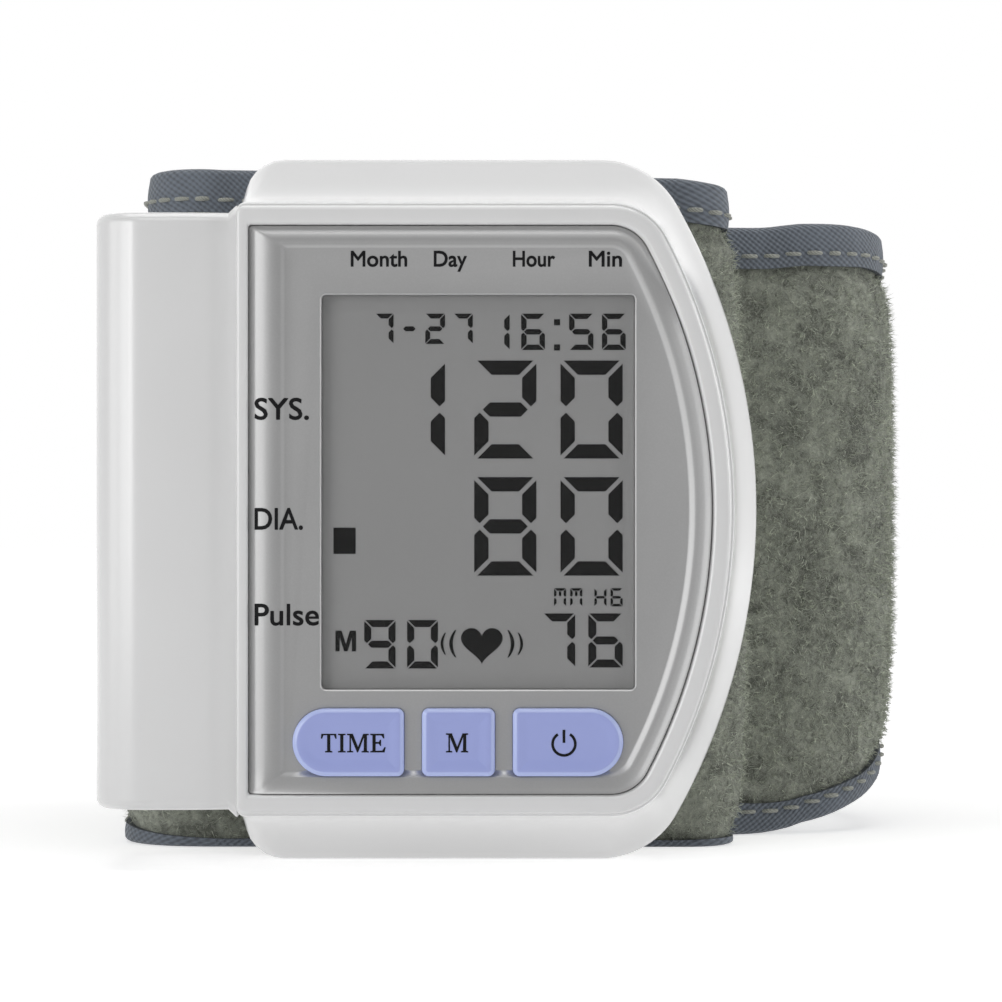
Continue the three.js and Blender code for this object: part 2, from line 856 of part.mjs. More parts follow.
class CoilCurve extends THREE.Curve {
  constructor(x, y, low, high, radius, turns) {
    super();
    Object.assign(this, { x, y, low, high, radius, turns });
  }

  getPoint(t, target = new THREE.Vector3()) {
    const angle = 2 * Math.PI * this.turns * t;
    return target.set(
      this.x + this.radius * Math.cos(angle),
      this.y + this.radius * Math.sin(angle),
      this.low + (this.high - this.low) * t,
    );
  }
}

function makeCoil(depth) {
  const low = lowPlate + contact.thickness + gap + contact.wireRadius;
  const high = batteryLow - gap - contact.wireRadius;
  const coil = new CoilCurve(batteryX, depth, low, high, contact.coilRadius, contact.coilTurns);
  const section = new THREE.Shape(arcPoints(0, 0, contact.wireRadius, 0, 2 * Math.PI, wireSides).slice(0, -1));
  return new THREE.ExtrudeGeometry(section, {
    steps: contact.coilTurns * coilStepsPerTurn, extrudePath: coil, bevelEnabled: false,
  });
}

// The cover is a trough, open towards the unit, with a rounded outer side
function coverBody(inset, left, right, endRound) {
  const low = cover.frontDepth + inset;
  const high = cover.backDepth - inset;
  const radius = cover.cornerRadius - inset;
  const quarter = Math.PI / 2;
  const half = cover.height / 2 - inset;
  const outline = (shrink) => [
    new THREE.Vector2(right, low + shrink),
    new THREE.Vector2(right, high - shrink),
    ...arcPoints(left + radius, high - radius, radius - shrink, quarter, 2 * quarter, smallArcSteps),
    ...arcPoints(left + radius, low + radius, radius - shrink, 2 * quarter, 3 * quarter, smallArcSteps),
  ];
  const ring = (shrink, z) => outline(shrink).map((point) => new THREE.Vector3(point.x, point.y, z));
  const rings = [
    ring(endRound, -half),
    ring(0, -half + endRound),
    ring(0, half - endRound),
    ring(endRound, half),
  ];
  return skin(rings, (points) => points.map((point) => new THREE.Vector2(point.x, point.y)));
}

function makeCover() {
  const right = base.left - gap;
  const left = right - cover.width + gap;
  const outside = coverBody(0, left, right, cover.endRound);
  const inside = coverBody(cover.wall, left + cover.wall, right + overrun, gap);
  return cut(outside, inside);
}

// Cuff path in plan, from the end of the inner flap round the wrist to the tip of the strap.
// Each corner has its rounding, and the heights of the cuff's top and bottom edges there.

const plan = {
  left: -36.7,
  nearRight: 21.8,
  right: 42,
  seam: 3,
  flapX: 15.5,
  tipX: 23.6,
  flapReach: 28.15,
  wristDepth: 61.15,
  strapBend: 23.15,
  tipReach: 16.65,
  nearRound: 4,
  leftRound: 11,
  backLeftRound: 27,
  backRightRound: 20,
  strapRound: 14,
};
const edges = {
  topRise: 0.45,
  flapTopDrop: 2.5,
  nearTopDrop: 1.2,
  backTopDrop: 1,
  seamTopDrop: 2.6,
  rightTopDrop: 3.6,
  strapTopDrop: 4,
  tipTopDrop: 5,
  flapBottomRise: 0.6,
  seamBottomRise: 2.4,
  rightBottomRise: 4,
  strapBottomRise: 3,
};
const cuffTop = base.height / 2 + edges.topRise;
const cuffBottom = -base.height / 2;
const cuffCorner = (x, y, round, topDrop, bottomRise) => ({
  x, y: nearDepth + y, round, top: cuffTop - topDrop, bottom: cuffBottom + bottomRise,
});
const cuffCorners = [
  cuffCorner(plan.flapX, plan.flapReach, 0, edges.flapTopDrop, edges.flapBottomRise),
  cuffCorner(plan.nearRight, 0, plan.nearRound, edges.nearTopDrop, 0),
  cuffCorner(plan.left, 0, plan.leftRound, 0, 0),
  cuffCorner(plan.left, plan.wristDepth, plan.backLeftRound, edges.backTopDrop, 0),
  cuffCorner(plan.seam, plan.wristDepth, 0, edges.seamTopDrop, edges.seamBottomRise),
  cuffCorner(plan.right, plan.wristDepth, plan.backRightRound, edges.rightTopDrop, edges.rightBottomRise),
  cuffCorner(plan.right, plan.strapBend, plan.strapRound, edges.strapTopDrop, edges.strapBottomRise),
  cuffCorner(plan.tipX, plan.tipReach, 0, edges.tipTopDrop, 0),
];
const seamCornerIndex = 4;
const hookCornerIndex = 5.5;

function cuffPath() {
  const stations = [];
  const place = (corner) => new THREE.Vector2(corner.x, corner.y);
  const station = (point, along, corner) => stations.push({ point, along, corner });
  cuffCorners.forEach((corner, i) => {
    const here = place(corner);
    if (corner.round === 0) {
      const next = place(cuffCorners[Math.min(i + 1, cuffCorners.length - 1)]);
      const last = place(cuffCorners[Math.max(i - 1, 0)]);
      const along = (i === 0 ? next.clone().sub(here) : here.clone().sub(last)).normalize();
      station(here, along, i);
      return;
    }
    const before = here.clone().sub(place(cuffCorners[i - 1])).normalize();
    const after = place(cuffCorners[i + 1]).sub(here).normalize();
    const turn = Math.acos(THREE.MathUtils.clamp(before.dot(after), -1, 1));
    const reach = corner.round * Math.tan(turn / 2);
    const start = here.clone().addScaledVector(before, -reach);
    const inward = new THREE.Vector2(before.y, -before.x);
    const centre = start.clone().addScaledVector(inward, corner.round);
    const steps = Math.ceil(THREE.MathUtils.radToDeg(turn) / cuffArcStep);
    for (let k = 0; k <= steps; k += 1) {
      const angle = (-turn * k) / steps;
      const spoke = start.clone().sub(centre).rotateAround(new THREE.Vector2(), angle);
      const along = before.clone().rotateAround(new THREE.Vector2(), angle);
      station(centre.clone().add(spoke), along, i - 0.5 + k / steps);
    }
  });
  return stations;
}

// Splits long straight stretches, so that the crown and the edges stay smooth
function withMidpoints(stations) {
  return stations.flatMap((station, i) => {
    const next = stations[i + 1];
    if (!next || station.point.distanceTo(next.point) < cuffStraightStep) {
      return [station];
    }
    const parts = Math.ceil(station.point.distanceTo(next.point) / cuffStraightStep);
    return Array.from({ length: parts }, (_, k) => ({
      point: station.point.clone().lerp(next.point, k / parts),
      along: station.along,
      corner: THREE.MathUtils.lerp(station.corner, next.corner, k / parts),
    }));
  });
}

const cuffStraightStep = 14;

function edgeHeight(corner, key) {
  const low = THREE.MathUtils.clamp(Math.floor(corner), 0, cuffCorners.length - 1);
  const high = Math.min(low + 1, cuffCorners.length - 1);
  const share = THREE.MathUtils.smoothstep(corner, low, low + 1);
  return THREE.MathUtils.lerp(cuffCorners[low][key], cuffCorners[high][key], share);
}

const wholePath = withMidpoints(cuffPath());
const seamIndex = wholePath.findIndex((station) => station.corner >= seamCornerIndex);

// Moves the two end stations along the path, to leave a gap at a seam or a margin at an end
function trimmed(stations, startMargin, endMargin) {
  const first = stations[0];
  const last = stations[stations.length - 1];
  const inside = stations.filter(({ point }) => (
    point.distanceTo(first.point) > startMargin && point.distanceTo(last.point) > endMargin
  ));
  const moved = (station, distance) => ({
    ...station, point: station.point.clone().addScaledVector(station.along, distance),
  });
  const middle = inside.filter((station) => station !== first && station !== last);
  return [moved(first, startMargin), ...middle, moved(last, -endMargin)];
}

const rootPath = wholePath.slice(0, seamIndex + 1);
const strapPath = wholePath.slice(seamIndex);

const crownRise = cuff.halfThicknessMiddle - cuff.halfThicknessEdge;
const crown = (share) => crownRise * (1 - Math.abs(share) ** crownPower);
const fleeceOut = (share) => cuff.halfThicknessEdge + crown(share);
const fleeceIn = (share) => fleeceOut(share) - cuff.fleece;
const formerOut = (share) => fleeceIn(share) - gap;
const formerIn = (share) => formerOut(share) - cuff.former;
const liningIn = (share) => -cuff.halfThicknessEdge + cuff.fleece - cuff.lining - crown(share);
const liningOut = (share) => liningIn(share) + cuff.lining;
const bladderIn = (share) => liningOut(share) + gap;
const bladderOut = (share) => formerIn(share) - gap;

// Height shares of a section, from the bottom edge to the top edge
const bothEdges = (shares) => [...shares.slice(1).reverse().map((share) => -share), ...shares];

// One layer of the cuff: a strip between two offsets, with margins at its bottom and top edges
function layer(stations, outer, inner, margin, shares = cuffSectionShares) {
  const section = (corner) => {
    const high = edgeHeight(corner, 'top');
    const low = edgeHeight(corner, 'bottom');
    const middle = (high + low) / 2;
    const half = (high - low) / 2;
    const used = (half - margin) / half;
    const places = bothEdges(shares).map((share) => share * used);
    return [
      ...places.map((share) => new THREE.Vector2(outer(share), middle + share * half)),
      ...places.reverse().map((share) => new THREE.Vector2(inner(share), middle + share * half)),
    ];
  };
  return sweep(stations, section);
}

function sweep(stations, section) {
  const flats = stations.map((station) => section(station.corner));
  const rings = stations.map(({ point, along }, i) => flats[i].map((place) => new THREE.Vector3(
    point.x - along.y * place.x, point.y + along.x * place.x, place.y,
  )));
  return skin(rings, (ring) => flats[rings.indexOf(ring)]);
}

// Binding tape folded over one edge of the cuff: side is 1 at the top and -1 at the bottom
function binding(stations, side) {
  const section = (corner) => {
    const high = edgeHeight(corner, 'top');
    const low = edgeHeight(corner, 'bottom');
    const middle = (high + low) / 2;
    const half = (high - low) / 2;
    const tape = cuff.bindingThickness;
    const edge = half - tape;
    const places = [half - cuff.bindingHeight, half - cuff.bindingHeight / 2, edge];
    const at = (offset, height) => new THREE.Vector2(offset, middle + side * height);
    const outerFace = (height, grow) => fleeceOut(height / half) + gap + grow;
    const innerFace = (height, grow) => liningIn(height / half) - gap - grow;
    return [
      ...places.map((height) => at(outerFace(height, tape), height)),
      at(outerFace(half, tape / 3), half),
      at(innerFace(half, tape / 3), half),
      ...places.toReversed().map((height) => at(innerFace(height, tape), height)),
      ...places.map((height) => at(innerFace(height, 0), height)),
      ...places.toReversed().map((height) => at(outerFace(height, 0), height)),
    ];
  };
  return sweep(stations, section);
}

const edgeMargin = cuff.bindingThickness + gap;
const seamGap = gap / 2;
const cuffEndMargin = 1;

const rootBand = trimmed(rootPath, 0, seamGap);
const strapBand = trimmed(strapPath, seamGap, 0);
const rootCore = trimmed(rootPath, cuffEndMargin, cuffEndMargin);
const strapCore = trimmed(strapPath, cuffEndMargin, cuffEndMargin);

function makeCuffFleece() {
  const sleeve = layer(rootBand, fleeceOut, fleeceIn, edgeMargin);
  return cut(sleeve, rodAlongY(
    air.blockX, air.blockZ, air.nozzleRadius + gap, nearDepth - overrun * 2, nearDepth,
  ));
}

function makeFormer(stations, pierced) {
  const former = layer(stations, formerOut, formerIn, cuff.coreMargin, coreSectionShares);
  const hole = rodAlongY(
    air.blockX, air.blockZ, air.nozzleRadius + gap, nearDepth - overrun * 2, nearDepth,
  );
  return pierced ? cut(former, hole) : former;
}

function makeBladder() {
  return layer(rootCore, bladderOut, bladderIn, cuff.coreMargin, coreSectionShares);
}

function makeHook() {
  const stations = trimmed(
    strapPath.filter((station) => station.corner >= hookCornerIndex), 0, cuffEndMargin,
  );
  const outer = (share) => liningIn(share) - gap;
  const inner = (share) => liningIn(share) - gap - cuff.hook;
  return layer(stations, outer, inner, cuff.hookMargin, coreSectionShares);
}

// Materials, one for each finish

const finish = (color, roughness, metalness = 0) => (
  new THREE.MeshStandardMaterial({ color, roughness, metalness })
);
const white = finish('#e4e5e7', 0.35);
const silver = finish('#98999b', 0.4);
const blue = finish('#929bd0', 0.45);
const greyGlass = finish('#858686', 0.15);
const black = finish('#1d1d1e', 0.5);
const boardGreen = finish('#2c6b45', 0.5);
const metal = finish('#b9bbbe', 0.3, 0.9);
const rubber = finish('#3b3c3e', 0.8);
const clearTube = finish('#cfd3d6', 0.3);
const fleeceCloth = finish('#6a6e63', 0.95);
const liningCloth = finish('#4d525b', 0.9);
const tapeCloth = finish('#555c69', 0.85);
const batteryJacket = finish('#5d6a78', 0.4);
const whitePlastic = finish('#d8dadc', 0.5);

const model = new THREE.Group();

function add(name, geometry, material) {
  const mesh = new THREE.Mesh(merged(geometry), material);
  mesh.name = name;
  model.add(mesh);
}

add('front_housing', makeFrontHousing(), white);
add('rear_housing', makeRearHousing(), white);
housingScrewPlaces.forEach(([x, z], i) => {
  const tip = base.partingDepth - housingScrew.depth;
  add(`housing_screw_${i + 1}`, screw(x, z, screwSeat, flangeBack, tip), metal);
});
add('face_panel', makePanel(), silver);
add('display_lens', makeLens(), clearTube);
add('lcd_glass', makeGlass(), greyGlass);
add('lcd_frame', makeDisplayFrame(), black);
add('lcd_contact_strip', makeContactStrip(), rubber);
for (const [name, place] of Object.entries(buttonPlaces)) {
  add(`button_${name}`, makeButton(place), blue);
  add(`tact_switch_${name}`, makeTactSwitch(place), black);
}
add('main_board', makeBoard(), boardGreen);
add('controller_chip', boardBox(chip.x, chip.z, chip.side, chip.side, chip.height), black);
add('buzzer', rodAlongY(
  buzzer.x, buzzer.z, buzzer.radius, partFront, partFront + buzzer.height, roundSides,
), black);
add('pressure_sensor', makeSensor(), whitePlastic);
add('pump_motor', makeMotor(), metal);
add('pump_head', makePumpHead(), whitePlastic);
add('pump_crank', makeCrank(), whitePlastic);
add('valve_body', makeValve(), black);
add('valve_plunger', makePlunger(), metal);
add('air_block', makeBlock(), whitePlastic);
add('pump_tube', makePumpTube(), clearTube);
add('valve_tube', makeValveTube(), clearTube);
add('sensor_tube', makeSensorTube(), clearTube);
add('cuff_nozzle', makeNozzle(), whitePlastic);
add('cuff_anchor_plate', makePlate(), whitePlastic);
plateScrewPlaces.forEach(([x, z], i) => {
  const seat = rearFloor - gap;
  add(`plate_screw_${i + 1}`, screw(x, z, seat, seat - screwHeadHeight, plateScrewTip), metal);
});
add('battery_tray', makeTray(), whitePlastic);
for (const [name, depth] of Object.entries(batteryDepths)) {
  add(`battery_${name}`, makeBattery(depth), batteryJacket);
  add(`contact_${name}`, makeLowContact(depth), metal);
  add(`contact_spring_${name}`, makeCoil(depth), metal);
}
add('contact_bridge', makeHighContact(), metal);
add('battery_cover', makeCover(), white);
add('cuff_fleece', makeCuffFleece(), fleeceCloth);
add('cuff_former', makeFormer(rootCore, true), whitePlastic);
add('cuff_bladder', makeBladder(), rubber);
add('cuff_lining', layer(rootBand, liningOut, liningIn, edgeMargin), liningCloth);
add('cuff_binding_top', binding(rootBand, 1), tapeCloth);
add('cuff_binding_bottom', binding(rootBand, -1), tapeCloth);
add('strap_fleece', layer(strapBand, fleeceOut, fleeceIn, edgeMargin), fleeceCloth);
add('strap_former', makeFormer(strapCore, false), whitePlastic);
add('strap_lining', layer(strapBand, liningOut, liningIn, edgeMargin), liningCloth);
add('strap_binding_top', binding(strapBand, 1), tapeCloth);
add('strap_binding_bottom', binding(strapBand, -1), tapeCloth);
add('strap_hook_patch', makeHook(), black);

// The origin is the middle of the underside of the whole monitor
const bounds = new THREE.Box3().setFromObject(model);
const middle = bounds.getCenter(new THREE.Vector3());
model.position.set(-middle.x, -middle.y, -bounds.min.z);
model.updateMatrixWorld(true);

export default model;
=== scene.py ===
import math

import bmesh
import bpy
from mathutils import Matrix, Vector, noise


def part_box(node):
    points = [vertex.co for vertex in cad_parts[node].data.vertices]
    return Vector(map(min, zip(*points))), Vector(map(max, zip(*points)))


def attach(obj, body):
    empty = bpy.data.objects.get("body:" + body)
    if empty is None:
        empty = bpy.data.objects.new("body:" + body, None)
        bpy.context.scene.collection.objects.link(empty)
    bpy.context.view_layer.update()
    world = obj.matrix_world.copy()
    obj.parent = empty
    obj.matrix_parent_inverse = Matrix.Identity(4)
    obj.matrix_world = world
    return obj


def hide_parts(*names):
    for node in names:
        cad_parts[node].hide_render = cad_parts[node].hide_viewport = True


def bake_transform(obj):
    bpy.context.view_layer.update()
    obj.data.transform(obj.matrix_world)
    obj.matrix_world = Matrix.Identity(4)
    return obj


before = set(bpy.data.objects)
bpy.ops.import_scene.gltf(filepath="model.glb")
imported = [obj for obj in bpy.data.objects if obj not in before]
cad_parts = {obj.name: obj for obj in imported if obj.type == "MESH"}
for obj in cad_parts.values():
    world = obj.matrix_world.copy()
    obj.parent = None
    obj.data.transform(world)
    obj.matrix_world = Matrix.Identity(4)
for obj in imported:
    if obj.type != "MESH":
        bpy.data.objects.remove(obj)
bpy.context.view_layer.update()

bl_info = {
    "name": "Wrist monitor dresser",
    "version": (1, 0, 0),
    "blender": (4, 5, 0),
    "location": "3D View > Sidebar > Monitor",
    "description": "Finishes a wrist blood pressure monitor with its fleece cuff",
    "category": "Object",
}

# Lengths are written in millimetres and turned into metres by MM
MM = 0.001
QUARTER = math.pi / 2

# The unit's own frame: x from its middle, y back from the face plane, z from its middle height
RIM_RISE = 0.6
BASE_WIDTH = 52.3
rear_low, rear_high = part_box("rear_housing")
front_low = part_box("front_housing")[0]
UNIT_ORIGIN = Vector((
    rear_low.x + BASE_WIDTH / 2 * MM,
    front_low.y + RIM_RISE * MM,
    (rear_low.z + rear_high.z) / 2,
))

# Outlines of the unit: width, height, and the radii of its right side, right corners, left corners
BASE = {"width": BASE_WIDTH, "height": 71.5, "side": 63.6, "corner": 9.0, "left": 4.0}
FACE = {"width": 48.9, "height": 60.0, "side": 57.5, "corner": 6.0, "left": 0.8}
LEFT = -BASE["width"] / 2
PARTING_DEPTH = 17.0
FLANGE_THICKNESS = 3.6
REAR_DEPTH = 28.0
GAP = 0.3
SHADOW_GAP = 0.07


def at(x, y, z):
    """A point of the unit's own frame, in the row frame and in metres."""
    return UNIT_ORIGIN + Vector((x, y, z)) * MM


def arc(centre_x, centre_z, radius, start, end, steps):
    """Points along an arc, with both ends."""
    angles = (start + (end - start) * i / steps for i in range(steps + 1))
    return [(centre_x + radius * math.cos(a), centre_z + radius * math.sin(a)) for a in angles]


# Extra points along a straight side, as shares of its length
BETWEEN = (0.03, 0.5, 0.97)


CORNER_STEPS = 14
SIDE_STEPS = 40


def unit_outline(size, inset=0.0, left_inset=None):
    """The unit's outline: straight left side, bulging right side, four rounded corners."""
    left_inset = inset if left_inset is None else left_inset
    left = LEFT + left_inset
    half = size["height"] / 2 - inset
    side = size["side"] - inset
    corner = max(size["corner"] - inset, GAP)
    left_radius = max(size["left"] - left_inset, GAP)
    side_x = LEFT + size["width"] - inset - side
    corner_z = half - corner
    corner_x = side_x + math.sqrt((side - corner) ** 2 - corner_z**2)
    turn = math.atan2(corner_z, corner_x - side_x)
    low_left = arc(left + left_radius, -half + left_radius, left_radius, -2 * QUARTER, -QUARTER, 6)
    low_right = arc(corner_x, -corner_z, corner, -QUARTER, -turn, CORNER_STEPS)
    bulge = arc(side_x, 0, side, -turn, turn, SIDE_STEPS)
    high_right = arc(corner_x, corner_z, corner, turn, QUARTER, CORNER_STEPS)
    high_left = arc(left + left_radius, half - left_radius, left_radius, QUARTER, 2 * QUARTER, 6)
    first, last = low_left[-1][0], low_right[0][0]
    straight = [(first + (last - first) * share, -half) for share in BETWEEN]
    back = [(x, half) for x, _ in reversed(straight)]
    rise = [(left, high_left[-1][1] * (1 - 2 * share)) for share in BETWEEN]
    return low_left + straight + low_right[:-1] + bulge + high_right[1:] + back + high_left + rise


def blended(first, second, share):
    """A ring part of the way from one outline to another."""
    return [
        (a[0] + (b[0] - a[0]) * share, a[1] + (b[1] - a[1]) * share) for a, b in zip(first, second)
    ]


def new_object(name, mesh):
    """Links a mesh to the scene as an object."""
    obj = bpy.data.objects.new(name, mesh)
    bpy.context.scene.collection.objects.link(obj)
    return obj


def plain_object(name, bm):
    """Turns a bmesh into an object as it is."""
    mesh = bpy.data.meshes.new(name)
    bm.to_mesh(mesh)
    bm.free()
    return new_object(name, mesh)


def smooth_object(name, bm, sharp):
    """Turns a bmesh into an object with outward faces, smooth up to an angle."""
    bmesh.ops.recalc_face_normals(bm, faces=bm.faces)
    obj = plain_object(name, bm)
    obj.data.shade_smooth()
    obj.data.set_sharp_from_angle(angle=math.radians(sharp))
    return obj


def from_bmesh(name, bm, sharp=35.0):
    """Turns a bmesh into a smooth object without doubled points."""
    bmesh.ops.remove_doubles(bm, verts=bm.verts, dist=1e-7)
    return smooth_object(name, bm, sharp)


def around(count):
    """Numbers of each point of a ring and of the point after it."""
    return [(i, (i + 1) % count) for i in range(count)]


def rings_to_bmesh(rings, close_loop=False):
    """Skins a row of rings, given as points in the row frame, into a bmesh."""
    bm = bmesh.new()
    verts = [[bm.verts.new(point) for point in ring] for ring in rings]
    pairs = list(zip(verts, verts[1:])) + ([(verts[-1], verts[0])] if close_loop else [])
    for first, second in pairs:
        for i, j in around(len(first)):
            bm.faces.new((first[i], first[j], second[j], second[i]))
    if not close_loop:
        bm.faces.new(verts[0])
        bm.faces.new(verts[-1])
    return bm


def slice_across(bm, place, reach=0.0):
    """Adds points where a bmesh crosses an upright plane across X, and removes nothing."""
    whole = bm.verts[:] + bm.edges[:] + bm.faces[:]
    bmesh.ops.bisect_plane(bm, geom=whole, plane_co=place, plane_no=(1, 0, 0), dist=reach)


def unit_rings(layers):
    """Rings of the unit's frame from pairs of outline and depth."""
    return [[at(x, depth, z) for x, z in outline] for outline, depth in layers]


def final_mesh(obj):
    """An object's mesh with its modifiers applied."""
    depsgraph = bpy.context.evaluated_depsgraph_get()
    return bpy.data.meshes.new_from_object(obj.evaluated_get(depsgraph))


def combine(obj, tools, operation="DIFFERENCE"):
    """Cuts tools out of an object, or joins them to it, and keeps the result as its mesh."""
    for tool in tools:
        modifier = obj.modifiers.new("combine", "BOOLEAN")
        modifier.operation = operation
        modifier.solver = "EXACT"
        modifier.object = tool
    mesh = final_mesh(obj)
    obj.modifiers.clear()
    obj.data = mesh
    for tool in tools:
        bpy.data.objects.remove(tool)


def rounded_corner_outline(left, right, low, high, left_radius, right_radius, steps=12):
    """A rectangle whose two left corners and two right corners are rounded."""
    return (
        arc(left + left_radius, low + left_radius, left_radius, -2 * QUARTER, -QUARTER, steps)
        + arc(right - right_radius, low + right_radius, right_radius, -QUARTER, 0, steps)
        + arc(right - right_radius, high - right_radius, right_radius, 0, QUARTER, steps)
        + arc(left + left_radius, high - left_radius, left_radius, QUARTER, 2 * QUARTER, steps)
    )


def prism(name, outline, from_depth, to_depth):
    """A straight prism across the unit's depth."""
    rings = unit_rings([(outline, from_depth), (outline, to_depth)])
    return from_bmesh(name, rings_to_bmesh(rings))


def finish_piece(obj, material, body, slot, *nodes):
    """Gives a piece its material, body and slot, and names the nodes that it stands for."""
    obj.data.materials.append(material)
    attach(obj, body)
    if nodes:
        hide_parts(*nodes)


# Finishes

def linear(*levels):
    """Turns 0 to 255 display levels into the linear colour that shaders take."""
    return tuple(
        (v / 255 / 12.92 if v <= 10 else ((v / 255 + 0.055) / 1.055) ** 2.4) for v in levels
    )


def add_node(tree, kind, output, wires=(), values=(), **settings):
    """A node with its settings, plain values and incoming wires; returns one of its outputs."""
    node = tree.nodes.new(kind)
    for label, value in settings.items():
        setattr(node, label, value)
    for label, value in dict(values).items():
        node.inputs[label].default_value = value
    for label, source in dict(wires).items():
        tree.links.new(source, node.inputs[label])
    return node.outputs[output]


class Finish:
    """A material under construction: a Principled shader, and short calls for its nodes."""

    def __init__(self, name, colour, roughness, metallic=0.0):
        self.material = bpy.data.materials.new(name)
        self.material.use_nodes = True
        self.material.diffuse_color = (*colour[:3], 1)
        self.tree = self.material.node_tree
        self.shader = self.tree.nodes["Principled BSDF"]
        self.set(Base_Color=(*colour[:3], 1), Roughness=roughness, Metallic=metallic)
        self.normal = None

    def add(self, kind, output, wires=(), values=(), **settings):
        """A node of this material; returns one of its outputs."""
        return add_node(self.tree, kind, output, wires, values, **settings)

    def drive(self, label, source):
        """Leads an output into one of the shader's sockets."""
        self.tree.links.new(source, self.shader.inputs[label])

    def end_with(self, source):
        """Leads another shader to the material's surface."""
        self.tree.links.new(source, self.tree.nodes["Material Output"].inputs["Surface"])

    def place(self, uv=False, scale=(1, 1, 1), turn=(0, 0, 0)):
        """Object coordinates in metres, or the cloth UV map, stretched and turned."""
        if uv:
            source = self.add("ShaderNodeUVMap", "UV", uv_map="cloth")
        else:
            source = self.add("ShaderNodeTexCoord", "Object")
        values = {"Scale": scale, "Rotation": turn}
        return self.add("ShaderNodeMapping", "Vector", {"Vector": source}, values)

    def noise(self, vector, scale, detail=3.0, rough=0.55, twist=0.0):
        """Soft random patches, drawn out into curls by a twist."""
        values = {"Scale": scale, "Detail": detail, "Roughness": rough, "Distortion": twist}
        return self.add("ShaderNodeTexNoise", "Fac", {"Vector": vector}, values)

    def lines(self, field, width):
        """Thin lines where a field crosses its middle value."""
        return self.spread(self.sum(self.sum(field, -0.5), 0.0, "ABSOLUTE"), 1, 0, 0.0, width)

    def cells(self, vector, scale):
        """Distance to the nearest of many scattered points."""
        return self.add("ShaderNodeTexVoronoi", "Distance", {"Vector": vector}, {"Scale": scale})

    def bands(self, vector, period, across="X"):
        """Straight even bands, one in every period."""
        values = {"Scale": 2 * math.pi / 20 / period, "Distortion": 0.0}
        return self.add(
            "ShaderNodeTexWave", "Fac", {"Vector": vector}, values, wave_type="BANDS",
            bands_direction=across,
        )

    def sum(self, first, second, operation="ADD"):
        """Two fields put together by a maths node."""
        plain, wired = {}, {}
        for label, value in enumerate((first, second)):
            (plain if isinstance(value, (int, float)) else wired)[label] = value
        return self.add("ShaderNodeMath", "Value", wired, plain, operation=operation)

    def mixed(self, *parts):
        """Fields added up, each by its share."""
        total, *others = (self.sum(field, share, "MULTIPLY") for field, share in parts)
        for part in others:
            total = self.sum(total, part)
        return total

    def spread(self, field, low, high, start=0.0, end=1.0):
        """A field's values from start to end, spread from low to high."""
        ends = {"From Min": start, "From Max": end, "To Min": low, "To Max": high}
        return self.add("ShaderNodeMapRange", "Result", {"Value": field}, ends)

    def tilt(self, start, end):
        """How far the surface slopes away from the view, from 0 at the start to 1 at the end."""
        return self.spread(self.add("ShaderNodeLayerWeight", "Facing"), 0, 1, start, end)

    def tint(self, field, low, high):
        """Base colour that runs between two colours with a field."""
        node = self.tree.nodes.new("ShaderNodeMix")
        node.data_type = "RGBA"
        self.tree.links.new(field, node.inputs["Factor"])
        for socket, colour in zip((s for s in node.inputs if s.type == "RGBA"), (low, high)):
            socket.default_value = (*colour[:3], 1)
        self.drive("Base Color", next(s for s in node.outputs if s.type == "RGBA"))
        return self

    def rough(self, field, low, high):
        """Roughness that follows a field."""
        self.drive("Roughness", self.spread(field, low, high))
        return self

    def bump(self, field, height, strength=1.0):
        """Surface relief of a given height in metres."""
        wires = {"Height": field}
        if self.normal is not None:
            wires["Normal"] = self.normal
        values = {"Strength": strength, "Distance": height}
        self.normal = self.add("ShaderNodeBump", "Normal", wires, values)
        self.drive("Normal", self.normal)
        return self

    def set(self, **values):
        """Plain values on the shader's own sockets."""
        for label, value in values.items():
            self.shader.inputs[label.replace("_", " ")].default_value = value
        return self


def kept(build):
    """Makes a finish once and hands out the same material after that."""
    made = {}

    def give(*colours):
        key = tuple(tuple(colour) for colour in colours)
        if key not in made:
            made[key] = build(*key)
        return made[key]

    give.__doc__ = build.__doc__
    return give


def shade(colour, share):
    """A darker or lighter share of a colour."""
    return tuple(min(level * share, 1.0) for level in colour[:3])


@kept
def white_plastic(colour):
    """Glossy moulded white plastic with a faint flow in its gloss."""
    finish = Finish("moulded white", colour, 0.28)
    place = finish.place()
    flow = finish.noise(place, 60, 2)
    grain = finish.noise(place, 2600, 2)
    finish.tint(flow, shade(colour, 0.965), shade(colour, 1.02)).rough(flow, 0.26, 0.33)
    finish.set(IOR=1.75, Coat_Weight=1.0, Coat_Roughness=0.22)
    return finish.bump(grain, 0.000004, 0.35).material


@kept
def silver_paint(colour):
    """Silver grey paint with fine flakes on the face panel, paler where it slopes away."""
    finish = Finish("silver paint", colour, 0.36, 0.6)
    place = finish.place()
    flakes = finish.cells(place, 5200)
    cloud = finish.noise(place, 90, 2)
    # Painted highlight: the colour turns paler as the border's slopes turn away from the view,
    # standing in for the lamps' gleam; flakes and cloud add the paint's own random tone.
    tone_and_painted_highlight = finish.sum(finish.tilt(0.02, 0.18), finish.mixed((flakes, 0.06), (cloud, 0.12)))
    finish.tint(tone_and_painted_highlight, shade(colour, 0.93), shade(colour, 1.75)).rough(cloud, 0.33, 0.4)
    return finish.bump(flakes, 0.000003, 0.3).set(Coat_Weight=0.35, Coat_Roughness=0.16).material


